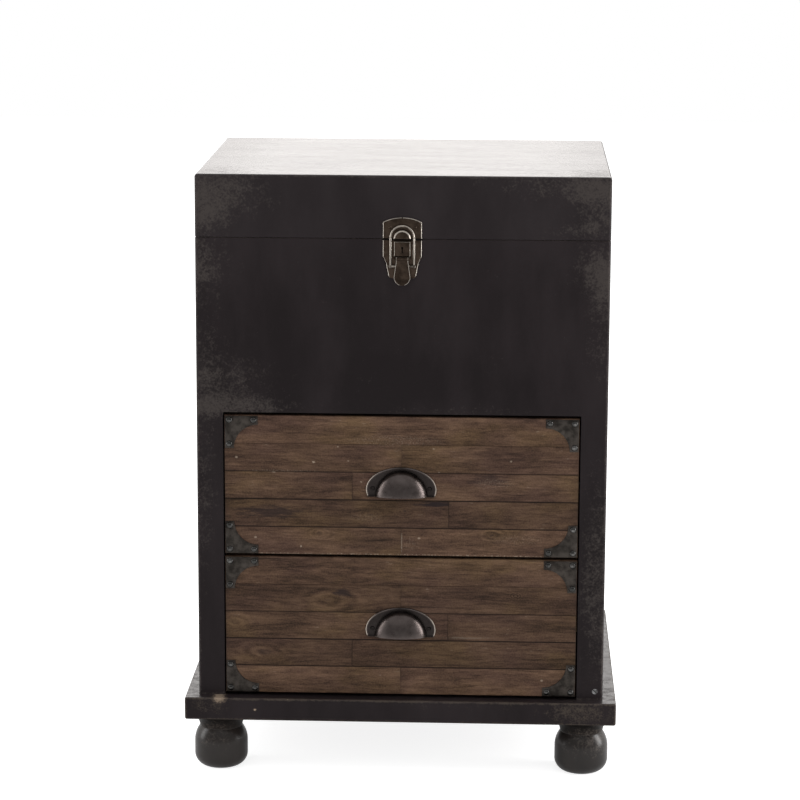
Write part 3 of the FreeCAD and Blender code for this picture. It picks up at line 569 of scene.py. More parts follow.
@dataclass(frozen=True)
class DarkPine(Finish):
    """Dark stained reclaimed strips: fine grain, knots, chips and dirt in the seams."""

    knots: tuple[Spot, ...] = ()
    stains: tuple[Spot, ...] = ()
    chips: tuple[Spot, ...] = ()
    scuffs: tuple[Spot, ...] = ()
    dark: Colour = (0.0340, 0.0195, 0.0128)
    middle: Colour = (0.0820, 0.0468, 0.0300)
    light: Colour = (0.1400, 0.0830, 0.0525)
    olive: Colour = (1.06, 1.09, 0.94)
    plum: Colour = (0.86, 0.84, 0.92)
    stain: Colour = (0.0190, 0.0130, 0.0135)
    dirt: Colour = (0.0100, 0.0060, 0.0045)
    chip: Colour = (0.3600, 0.2850, 0.2150)
    waver: float = 0.016
    knot_pull: float = 0.85
    knot_rings: float = 17.0
    ragged: float = 2.2
    crack_dirt: float = 0.55
    seam_dirt: float = 0.9
    relief: float = 0.0006
    relief_strength: float = 0.5

    def sockets(self, graph: Graph) -> dict[str, Any]:
        """Long grain along X that starts afresh in each strip and bends round the knots.

        Args:
            graph: Graph that the nodes go to.

        Returns:
            Values and shades by socket name.
        """
        x, y, z = graph.place()
        strip = graph.attribute(STRIP)
        edge = graph.attribute(EDGE)
        along = x + strip * 9.0
        up = z + strip * 5.0
        sway = graph.noise(graph.join(along * 6.0, strip, up * 22.0), 1.0, 2.0)
        flow = up + (sway - 0.5) * self.waver
        broken = graph.noise(graph.join(along * 26.0, strip + 4.6, up * 60.0), 1.0, 2.0)
        flow, ring, eye = self.bend(graph, (x, z), flow, sway, broken.over(0.30, 0.60))
        fine = graph.noise(graph.join(along * 60.0, y * 30.0, flow * 480.0), 1.0, 4.0, 0.7)
        band = graph.noise(graph.join(along * 6.0, strip, flow * 150.0), 1.0, 3.0, 0.6)
        broad = graph.noise(graph.join(along * 14.0, strip, up * 45.0), 1.0, 4.0, 0.6)
        grit = graph.noise(graph.join(x, y, z), 620.0, 2.0)
        grain = fine * 0.48 + band * 0.22 + broad * 0.44 + grit * 0.26 + ring * 0.25 - 0.20
        colour = graph.ramp(grain, ((0.36, self.dark), (0.50, self.middle), (0.65, self.light)))
        hue = graph.noise(graph.join(along * 10.0, strip, up * 20.0), 1.0, 3.0)
        colour = graph.mix(hue.over(0.50, 0.64), colour, self.olive, "MULTIPLY")
        colour = graph.mix(1.0 - hue.over(0.36, 0.50), colour, self.plum, "MULTIPLY")
        tone = graph.attribute(TONE)
        colour = graph.mix(1.0, colour, graph.join(tone, tone, tone), "MULTIPLY")
        stained: Shade | float = 0.0
        for stain in self.stains:
            stained = stain.cover(graph, x, z, 0.3, (fine - 0.5) * self.ragged) + stained
        colour = graph.mix(stained, colour, self.stain)
        colour = graph.mix((eye * 0.5).lowest(0.6), colour, self.stain)
        crack = graph.noise(graph.join(along * 12.0, strip, flow * 520.0), 1.0, 2.0).over(0.66, 0.74)
        colour = graph.mix(crack * self.crack_dirt, colour, self.dirt)
        speck_gap, speck_pick = graph.cells(graph.join(x * 0.75, 0.0, z), 58.0)
        speck = (1.0 - speck_gap.over(0.03, 0.1)) * speck_pick.over(0.80, 0.82)
        flaked = self.flaked(graph, (x, z), broad, (fine + grit - 1.0) * self.ragged)
        colour = graph.mix(flaked.highest(speck * 0.5), colour, self.chip)
        colour = graph.mix(edge * edge * self.seam_dirt, colour, self.dirt)
        height = fine * 0.7 + band * 0.4 - crack * 0.6 - speck * 0.8
        return {
            "Base Color": colour,
            "Roughness": 0.70 - band * 0.22,
            "Specular IOR Level": 0.10,
            "Normal": graph.bump(height, self.relief, self.relief_strength),
        }

    def bend(
        self, graph: Graph, spot: tuple[Shade, Shade], flow: Shade, sway: Shade, broken: Shade
    ) -> tuple[Shade, Shade | float, Shade | float]:
        """Bend the grain round the knots.

        Args:
            graph: Graph that the nodes go to.
            spot: Place across and upwards.
            flow: Height that the straight grain is read at.
            sway: Slow waver of the grain.
            broken: Where a knot's rings show.

        Returns:
            Height that the bent grain is read at, the knots' rings and their dark eyes.
        """
        x, z = spot
        ring: Shade | float = 0.0
        eye: Shade | float = 0.0
        for knot in self.knots:
            gap = knot.distance(graph, x, z) + (sway - 0.5) * 0.6
            pull = 1.0 - gap.over(0.0, 1.3)
            flow = flow - pull * (z - knot.z) * self.knot_pull
            wave = graph.maths("SINE", gap * self.knot_rings + sway * 8.0) * 0.5
            ring = ring + wave * broken * (1.0 - gap.over(0.30, 1.25)) * knot.strength
            eye = eye + (1.0 - gap.over(0.08, 0.26)) * knot.strength
        return flow, ring, eye

    def flaked(self, graph: Graph, spot: tuple[Shade, Shade], broad: Shade, ragged: Shade) -> Shade:
        """Scuffs and chips, where the stain has come off.

        Args:
            graph: Graph that the nodes go to.
            spot: Place across and upwards.
            broad: Slow cloudiness of the wood.
            ragged: What breaks up the outline of a chip.

        Returns:
            How far the stain has come off.
        """
        x, z = spot
        scuff = graph.noise(graph.join(x * 110.0, 0.0, z * 420.0), 1.0, 3.0).over(0.60, 0.78)
        off = scuff * broad.over(0.46, 0.66) * 0.3
        for chip in self.chips:
            off = off.highest(chip.cover(graph, x, z, 0.3, ragged) * 0.75)
        ticks = graph.noise(graph.join(x * 560.0, 0.0, z * 620.0), 1.0, 2.0).over(0.45, 0.75)
        for place in self.scuffs:
            off = off.highest(ticks * place.cover(graph, x, z, 0.4))
        return off


@dataclass(frozen=True)
class BareBoard(Finish):
    """Plain sawn board with straight grain."""

    grain: Grain = Grain.ACROSS
    dark: Colour = (0.2000, 0.1180, 0.0620)
    light: Colour = (0.4300, 0.2950, 0.1780)
    roughness: float = 0.6
    lengthwise: float = 5.0
    crosswise: float = 150.0
    waver: float = 0.01
    relief: float = 0.0004
    relief_strength: float = 0.4

    def sockets(self, graph: Graph) -> dict[str, Any]:
        """Grain stretched along the board's length.

        Args:
            graph: Graph that the nodes go to.

        Returns:
            Values and shades by socket name.
        """
        spot = list(graph.place())
        sway = graph.noise(graph.join(*spot), 7.0, 2.0)
        stretched = []
        for axis, value in enumerate(spot):
            squeeze = self.lengthwise if axis == self.grain.value else self.crosswise
            stretched.append((value + (sway - 0.5) * self.waver) * squeeze)
        fine = graph.noise(graph.join(*stretched), 1.0, 4.0, 0.6)
        broad = graph.noise(graph.join(*[value * 0.3 for value in stretched]), 1.0, 2.0)
        colour = graph.ramp(fine * 0.6 + broad * 0.4, ((0.34, self.dark), (0.64, self.light)))
        return {
            "Base Color": colour,
            "Roughness": self.roughness + fine * 0.1,
            "Specular IOR Level": 0.3,
            "Normal": graph.bump(fine, self.relief, self.relief_strength),
        }


@dataclass(frozen=True)
class AgedMetal(Finish):
    """Darkened metal, cloudy, painted bright along rubbed edges and painted highlights, and darkened
    with soot and painted shade.
    """

    dull: Colour = (0.0600, 0.0560, 0.0540)
    clear: Colour = (0.1200, 0.1080, 0.1020)
    bright: Colour = (0.5200, 0.4600, 0.4000)
    roughness: float = 0.34
    rub_and_highlight_edges: float = 0.0
    grit: float = 0.25
    soot_and_shade: Colour = (0.0040, 0.0036, 0.0034)
    relief: float = 0.0003

    def sockets(self, graph: Graph) -> dict[str, Any]:
        """Cloudy tarnish, fine pits, rubbed edges and painted highlights, soot and painted shade.

        Args:
            graph: Graph that the nodes go to.

        Returns:
            Values and shades by socket name.
        """
        x, y, z = graph.place()
        spot = graph.join(x, y, z)
        cloud = graph.noise(spot, 110.0, 4.0, 0.6)
        pits = graph.noise(spot, 900.0, 2.0)
        colour = graph.mix(cloud.over(0.3, 0.7), self.dull, self.clear)
        if self.rub_and_highlight_edges:
            edge = graph.attribute(EDGE)
            # Positive edge marks paint rubbed metal and painted highlights; negative ones paint soot
            # and painted shade.
            rubbed = (edge * self.rub_and_highlight_edges + (cloud - 0.5) * 0.8).over(0.35, 0.9)
            colour = graph.mix(rubbed, colour, self.bright)
            colour = graph.mix((0.0 - edge).over(0.0, 1.0), colour, self.soot_and_shade)
        return {
            "Base Color": colour,
            "Metallic": 1.0,
            "Roughness": cloud * 0.22 + (self.roughness - 0.1),
            "Normal": graph.bump(pits * 0.4 + cloud * 0.6, self.relief, self.grit),
        }


@dataclass(frozen=True)
class Sheet(Finish):
    """Pale matt floor that shows white and keeps the shadow of what stands on it."""

    colour: Colour = (0.60, 0.60, 0.60)
    glow: float = 0.80
    mirrored: float = 0.35

    def sockets(self, graph: Graph) -> dict[str, Any]:
        """One even colour, lifted to white for the camera and for what mirrors the floor.

        Args:
            graph: Graph that the nodes go to.

        Returns:
            Values and shades by socket name.
        """
        camera, glossy, through = background_rays(graph)
        seen = camera.highest(glossy.highest(through) * self.mirrored)
        return {
            "Base Color": self.colour,
            "Roughness": 0.9,
            "Specular IOR Level": 0.0,
            "Emission Color": graph.mix(seen, (0.0, 0.0, 0.0), (1.0, 1.0, 1.0)),
            "Emission Strength": self.glow,
        }


def background_rays(graph: Graph) -> tuple[Shade, Shade, Shade]:
    """Marks of the rays that show the background.

    Args:
        graph: Graph that the nodes go to.

    Returns:
        Marks of rays from the camera, of mirrored ones and of ones let through.
    """
    path = graph.node("LightPath")
    names = ("Is Camera Ray", "Is Glossy Ray", "Is Transmission Ray")
    return tuple(Shade(graph, path.outputs[name]) for name in names)


# Pieces and mesh helpers
class Piece:
    """A mesh under way, which ends as an object that rides on a body of the part."""

    def __init__(self, name: str) -> None:
        """Start an empty mesh."""
        self.name = name
        self.mesh = bmesh.new()

    def add(self, other: bmesh.types.BMesh) -> None:
        """Take in the faces of another mesh.

        Args:
            other: The other mesh, which is freed.
        """
        scratch = bpy.data.meshes.new("scratch")
        other.to_mesh(scratch)
        other.free()
        self.mesh.from_mesh(scratch)
        bpy.data.meshes.remove(scratch)

    def finish(
        self,
        body: str,
        material: bpy.types.Material,
        replaced: Iterable[str] = (),
        crease: float = CREASE,
    ) -> bpy.types.Object:
        """Turn the mesh into an object of the scene.

        Args:
            body: Body that it rides on.
            material: Its finish.
            replaced: Nodes of the part that it stands for.
            crease: Angle in degrees above which an edge stays sharp.

        Returns:
            The new object.
        """
        data = bpy.data.meshes.new(self.name)
        self.mesh.to_mesh(data)
        self.mesh.free()
        data.polygons.foreach_set("use_smooth", [True] * len(data.polygons))
        data.set_sharp_from_angle(angle=math.radians(crease))
        data.materials.append(material)
        made = bpy.data.objects.new(self.name, data)
        bpy.context.scene.collection.objects.link(made)
        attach(made, body)
        if replaced:
            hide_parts(*replaced)
        LOG.info("%s rides on %s, %d faces", self.name, body, len(data.polygons))
        return made


def edge_layer(mesh: bmesh.types.BMesh) -> bmesh.types.BMLayerItem:
    """The mesh's layer that marks rubbed or dirty edges, painted highlights and painted shade."""
    return mesh.verts.layers.float.get(EDGE) or mesh.verts.layers.float.new(EDGE)


def move(
    mesh: bmesh.types.BMesh, shift: Point, turn: Matrix | None = None, scale: Point | None = None
) -> None:
    """Scale a whole mesh and turn it, both about the origin, and then shift it.

    Args:
        mesh: The mesh.
        shift: How far it is shifted.
        turn: Rotation, if it is turned.
        scale: Factors, if it is scaled.
    """
    if scale is not None:
        bmesh.ops.scale(mesh, vec=scale, verts=mesh.verts)
    if turn is not None:
        bmesh.ops.rotate(mesh, cent=(0.0, 0.0, 0.0), matrix=turn, verts=mesh.verts)
    bmesh.ops.translate(mesh, vec=shift, verts=mesh.verts)


def soften(mesh: bmesh.types.BMesh, edges: Sequence[bmesh.types.BMEdge], reach: float) -> None:
    """Round edges.

    Args:
        mesh: Mesh that they belong to.
        edges: The edges.
        reach: How far the rounding goes from each edge.
    """
    bmesh.ops.bevel(
        mesh, geom=edges, offset=reach, segments=2, profile=0.5, affect="EDGES", material=-1
    )


def cut(mesh: bmesh.types.BMesh, spot: Point, normal: Point | Vector, clear: bool = True) -> None:
    """Cut a mesh by a plane.

    Args:
        mesh: Mesh to cut.
        spot: A point of the plane.
        normal: Normal of the plane.
        clear: Whether what lies behind the plane is taken away.
    """
    bmesh.ops.bisect_plane(
        mesh,
        geom=mesh.verts[:] + mesh.edges[:] + mesh.faces[:],
        plane_co=spot,
        plane_no=normal,
        clear_inner=clear,
    )


def draw_out(mesh: bmesh.types.BMesh, faces: Sequence[bmesh.types.BMFace], shift: Point) -> None:
    """Extrude faces.

    Args:
        mesh: Mesh that they belong to.
        faces: The faces.
        shift: How far and which way they are drawn.
    """
    drawn = bmesh.ops.extrude_face_region(mesh, geom=faces)
    moved = [item for item in drawn["geom"] if isinstance(item, bmesh.types.BMVert)]
    bmesh.ops.translate(mesh, vec=shift, verts=moved)


def sweep(
    mesh: bmesh.types.BMesh,
    profile: Sequence[bmesh.types.BMVert | bmesh.types.BMEdge],
    centre: Point,
    axis: Point,
    angle: float,
    steps: int,
) -> list[bmesh.types.BMVert | bmesh.types.BMEdge]:
    """Turn a point or a profile about an axis. A full turn closes on itself.

    Args:
        mesh: Mesh that it belongs to.
        profile: One vertex, or the edges of a profile.
        centre: A point of the axis.
        axis: Direction of the axis.
        angle: Angle in radians.
        steps: Number of steps.

    Returns:
        What the turn ends with, of the profile's own kind.
    """
    swept = bmesh.ops.spin(
        mesh,
        geom=profile,
        cent=centre,
        axis=axis,
        angle=angle,
        steps=steps,
        use_merge=angle >= 2 * math.pi,
        use_duplicate=False,
    )
    return [item for item in swept["geom_last"] if isinstance(item, type(profile[0]))]


def lid_seam() -> float:
    """Height of the middle of the gap between the lid and the case."""
    return (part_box("lid_front_wall")[0].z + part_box("front_panel")[1].z) / 2


# Surroundings
@dataclass
class Studio:
    """Camera, lamps, floor and surroundings."""

    eye: Point = (0.11803, -3.33268, 1.07394)
    yaw: float = -2.1796
    pitch: float = 11.4546
    roll: float = -0.2634
    lens: float = 129.78
    floor_size: float = 14.0
    room: float = 1.10
    front_gloss: float = 0.40
    left_spot: Point = (-2.3, -0.15, 0.95)
    left_watts: float = 22.0
    right_spot: Point = (2.3, -0.15, 0.95)
    right_watts: float = 50.0
    side_size: tuple[float, float] = (0.8, 1.8)
    side_aim: Point = (0.0, -0.15, 0.45)
    back_spot: Point = (0.0, 2.9, 1.35)
    back_watts: float = 20.5
    back_size: tuple[float, float] = (4.4, 1.7)
    back_aim: Point = (0.0, 0.0, 0.7)
    warm: Colour = (1.0, 0.925, 0.875)

    def build(self) -> None:
        """Set up everything that isn't part of the dresser."""
        self.add_camera()
        self.add_floor()
        self.add_surroundings()
        sides = (
            ("left_softbox", self.left_spot, self.left_watts),
            ("right_softbox", self.right_spot, self.right_watts),
        )
        for name, spot, watts in sides:
            self.add_lamp(name, spot, self.side_aim, self.side_size, watts)
        self.add_lamp(
            "back_softbox", self.back_spot, self.back_aim, self.back_size, self.back_watts, self.warm
        )
        bpy.context.scene.view_settings.view_transform = "Standard"

    def add_camera(self) -> None:
        """Camera at the photograph's place, turn and focal length."""
        yaw, pitch, roll = (math.radians(angle) for angle in (self.yaw, self.pitch, self.roll))
        ahead = Vector(
            (math.sin(yaw) * math.cos(pitch), math.cos(yaw) * math.cos(pitch), -math.sin(pitch))
        )
        right = Vector((math.cos(yaw), -math.sin(yaw), 0.0))
        down = ahead.cross(right)
        turned_right = math.cos(roll) * right + math.sin(roll) * down
        turned_down = math.cos(roll) * down - math.sin(roll) * right
        axes = Matrix((turned_right, -turned_down, -ahead)).transposed()
        data = bpy.data.cameras.new("camera")
        data.sensor_width = 36.0
        data.lens = self.lens
        made = bpy.data.objects.new("camera", data)
        made.matrix_world = Matrix.Translation(self.eye) @ axes.to_4x4()
        bpy.context.scene.collection.objects.link(made)
        bpy.context.scene.camera = made

    def add_floor(self) -> None:
        """Pale floor under the feet."""
        mesh = bmesh.new()
        bmesh.ops.create_grid(mesh, x_segments=1, y_segments=1, size=self.floor_size / 2)
        data = bpy.data.meshes.new("floor")
        mesh.to_mesh(data)
        mesh.free()
        data.materials.append(Sheet("floor_sheet").material())
        made = bpy.data.objects.new("floor", data)
        bpy.context.scene.collection.objects.link(made)

    def add_surroundings(self) -> None:
        """White behind the dresser, dimmer in front, and an even room light."""
        world = bpy.data.worlds.new("studio")
        world.use_nodes = True
        bpy.context.scene.world = world
        graph = Graph(world.node_tree)
        heading = graph.node("SeparateXYZ", None, {0: graph.shade("TexCoord")})
        behind = Shade(graph, heading.outputs[1]).over(-0.35, 0.55)
        above = Shade(graph, heading.outputs[2]).over(0.40, 1.0)
        camera, mirrored, through = background_rays(graph)
        shown = camera.highest(mirrored).highest(through)
        gloss = behind.highest(above * 0.75) * (1.0 - self.front_gloss) + self.front_gloss
        level = (shown - mirrored) + mirrored * gloss + (1.0 - shown) * self.room
        light = graph.shade("Background", None, {"Color": (1.0, 1.0, 1.0), "Strength": level})
        graph.node("OutputWorld", None, {"Surface": light})

    def add_lamp(
        self,
        name: str,
        spot: Point,
        aim: Point,
        size: tuple[float, float],
        watts: float,
        tint: Colour = (1.0, 1.0, 1.0),
    ) -> None:
        """One soft rectangular lamp.

        Args:
            name: Name of the lamp.
            spot: Where it stands.
            aim: Point that it faces.
            size: Width and height.
            watts: Power.
            tint: Its colour.
        """
        data = bpy.data.lights.new(name, "AREA")
        data.shape = "RECTANGLE"
        data.size, data.size_y = size
        data.energy = watts
        data.color = tint
        made = bpy.data.objects.new(name, data)
        turn = (Vector(aim) - Vector(spot)).to_track_quat("-Z", "Y")
        made.matrix_world = Matrix.Translation(spot) @ turn.to_matrix().to_4x4()
        made.visible_camera = False
        bpy.context.scene.collection.objects.link(made)


# Sub-assemblies of the dresser
@dataclass
class Assembly:
    frame: dict[str, Any]

    def build(self) -> None:
        """Make its pieces and dress its nodes."""
        raise NotImplementedError

    def dress(self, material: bpy.types.Material, *names: str) -> None:
        """Give nodes of the part a finish.

        Args:
            material: The finish.
            names: Nodes to dress.
        """
        for name in names:
            slots = self.frame["nodes"][name].data.materials
            slots.clear()
            slots.append(material)
            LOG.info("%s is dressed in %s", name, material.name)

    def named(self, prefix: str) -> list[str]:
        """Nodes of the part whose names begin with a prefix."""
        return [name for name in self.frame["nodes"] if name.startswith(prefix)]

    def copy_node(self, name: str, mesh: bmesh.types.BMesh) -> None:
        """Copy a node of the part into a mesh, with its flat faces made whole.

        Args:
            name: Node to copy.
            mesh: Mesh that takes the copy.
        """
        mesh.from_mesh(self.frame["nodes"][name].data)
        bmesh.ops.remove_doubles(mesh, verts=mesh.verts, dist=WELD)
        limit = math.radians(FLAT_LIMIT)
        bmesh.ops.dissolve_limit(mesh, angle_limit=limit, verts=mesh.verts, edges=mesh.edges)


@dataclass
class Case(Assembly):
    """Painted boards of the case, its plinth, feet and plain inner boards."""

    boards: tuple[str, ...] = (
        "side_panel_left",
        "side_panel_right",
        "front_panel",
        "stile_left",
        "stile_right",
        "back_rail",
    )
    rubs: tuple[Spot, ...] = (
        Spot(-0.222, 0.590, 0.050, 0.060, 0.66),
        Spot(-0.228, 0.500, 0.050, 0.090, 0.40),
        Spot(-0.190, 0.450, 0.085, 0.060, 0.48),
        Spot(-0.185, 0.425, 0.130, 0.020, 0.50),
        Spot(-0.222, 0.330, 0.030, 0.170, 0.46),
        Spot(0.220, 0.585, 0.052, 0.055, 0.72),
        Spot(0.226, 0.520, 0.034, 0.100, 0.50),
        Spot(0.220, 0.230, 0.034, 0.190, 0.62),
        Spot(0.060, 0.423, 0.140, 0.010, 0.30),
    )
    # Painted sheen: the first spot lightens the upper front of the case towards soft black; the second
    # darkens a band above the drawers.
    tones: tuple[Spot, ...] = (
        Spot(0.0, 0.640, 0.600, 0.110, 0.55),
        Spot(0.03, 0.452, 0.200, 0.055, -0.45),
    )
    plinth_rubs: tuple[Spot, ...] = (
        Spot(-0.215, 0.080, 0.045, 0.018, 0.52),
        Spot(0.060, 0.086, 0.200, 0.012, 0.22),
        Spot(0.205, 0.078, 0.070, 0.020, 0.72),
    )
    plinth_chips: tuple[Spot, ...] = (
        Spot(-0.206, 0.089, 0.0085, 0.0065, 0.62),
        Spot(-0.165, 0.077, 0.0021, 0.0018, 1.0),
    )
    # Rubbed patches on the buns, partly painted highlight: the right one is stronger where light falls
    # on the right foot.
    foot_rubs_and_highlight: tuple[Spot, ...] = (
        Spot(-0.215, 0.045, 0.06, 0.04, 0.40),
        Spot(0.215, 0.045, 0.06, 0.04, 0.55),
    )
    # Painted shade and dirt: dark marks round the feet's collars, under the plinth, laid on as chips in
    # a near-black colour.
    foot_collars: tuple[Spot, ...] = (
        Spot(-0.207, 0.062, 0.080, 0.014, 0.8),
        Spot(0.207, 0.062, 0.080, 0.014, 0.8),
    )
    slot_margin: float = 0.0001
    slot_turn: float = 42.0
    screw_rub_and_highlight: float = 0.58

    def build(self) -> None:
        """Dress every board."""
        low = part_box("stile_left")[0]
        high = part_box("side_panel_right")[1]
        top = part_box("lid_top")[1].z
        paint = BlackPaint(
            "case_paint",
            tuple(low),
            (high.x, high.y, top),
            self.rubs,
            tones=self.tones,
            seam=lid_seam(),
            edge_strength=0.7,
        )
        self.dress(paint.material(), *self.boards)
        self.dress_base()
        ply = BareBoard("back_ply", Grain.UPRIGHT, (0.060, 0.036, 0.022), (0.135, 0.088, 0.055))
        self.dress(ply.material(), "back_panel")
        self.dress(BareBoard("trunk_floor_pine", Grain.ACROSS).material(), "trunk_floor")
        hardwood = BareBoard(
            "runner_hardwood", Grain.DEPTH, (0.220, 0.140, 0.080), (0.360, 0.250, 0.150)
        ).material()
        for side in Side:
            end = "_runner_" + side.name.lower()
            self.dress(hardwood, "upper" + end, "lower" + end)
        steel = AgedMetal("screw_steel", (0.20, 0.195, 0.19), (0.36, 0.35, 0.34), roughness=0.38)
        self.dress(steel.material(), "runner_screws")
        self.build_stile_screw()

    def build_stile_screw(self) -> None:
        """Slotted screw in the right stile, painted bright on its face as rubbing and painted
        highlight, and darkened in its slot as painted shade.
        """
        piece = Piece("slotted_stile_screw")
        self.copy_node("stile_screw", piece.mesh)
        low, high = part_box("stile_screw")
        face = low.y
        slant = Matrix.Rotation(math.radians(self.slot_turn), 3, "Y")
        bmesh.ops.rotate(piece.mesh, cent=(low + high) / 2, matrix=slant, verts=piece.mesh.verts)
        marks = piece.mesh.faces.layers.float.new(EDGE)
        # Flush faces are painted bright, as rubbed paint and painted highlight; the slot is darkened as
        # painted shade.
        for part in piece.mesh.faces:
            flush = part.calc_center_median().y < face + self.slot_margin
            part[marks] = self.screw_rub_and_highlight if flush else PAINTED_SHADE
        metal = AgedMetal(
            "painted_screw",
            dull=(0.020, 0.019, 0.019),
            clear=(0.045, 0.043, 0.042),
            bright=(0.42, 0.42, 0.42),
            roughness=0.3,
            rub_and_highlight_edges=1.0,
        )
        piece.finish("case", metal.material(), ["stile_screw"], FLAT_CREASE)

    def dress_base(self) -> None:
        """Plinth and feet: a greyer, more rubbed black, with the feet's collars darkened as painted
        shade and dirt.
        """
        low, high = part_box("base_board")
        plinth = BlackPaint(
            "plinth_paint",
            tuple(low),
            tuple(high),
            self.plinth_rubs,
            self.plinth_chips,
            edge_width=0.005,
            edge_strength=0.85,
            rubbed=(0.070, 0.056, 0.044),
            bare=(0.310, 0.235, 0.170),
            polish=0.7,
            scratched=0.6,
        )
        self.dress(plinth.material(), "base_board")
        feet = BlackPaint(
            "feet_paint",
            rubs=self.foot_rubs_and_highlight,
            chips=self.foot_collars,
            black=(0.0088, 0.0069, 0.0061),
            soft_black=(0.0205, 0.0158, 0.0135),
            roughness=0.34,
            rubbed=(0.085, 0.070, 0.060),
            # Near-black colour of the collar chips: painted shade and dirt.
            bare=(0.0060, 0.0050, 0.0045),
            shine=0.06,
            waxed=0.50,
        )
        self.dress(feet.material(), *self.named("foot_"))


@dataclass
class Lid(Assembly):
    """Painted boards of the lid."""

    walls: tuple[str, ...] = ("lid_front_wall", "lid_back_wall", "lid_left_wall", "lid_right_wall")
    rubs: tuple[Spot, ...] = (
        Spot(-0.200, 0.668, 0.095, 0.055, 0.66),
        Spot(-0.228, 0.635, 0.060, 0.060, 0.50),
        Spot(0.170, 0.678, 0.120, 0.030, 0.52),
        Spot(0.222, 0.655, 0.055, 0.070, 0.70),
        Spot(0.180, 0.628, 0.060, 0.014, 0.35),
    )

    def build(self) -> None:
        """Dress the lid's boards."""
        low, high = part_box("lid_top")
        foot = (low.x, low.y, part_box("base_board")[1].z)
        paint = BlackPaint(
            "lid_paint",
            foot,
            tuple(high),
            self.rubs,
            seam=lid_seam(),
            edge_width=0.007,
            black=(0.0162, 0.0124, 0.0134),
            soft_black=(0.0252, 0.0200, 0.0212),
            polish=1.0,
            scratched=0.06,
            dull_ends=0.16,
        )
        self.dress(paint.material(), "lid_top", *self.walls)


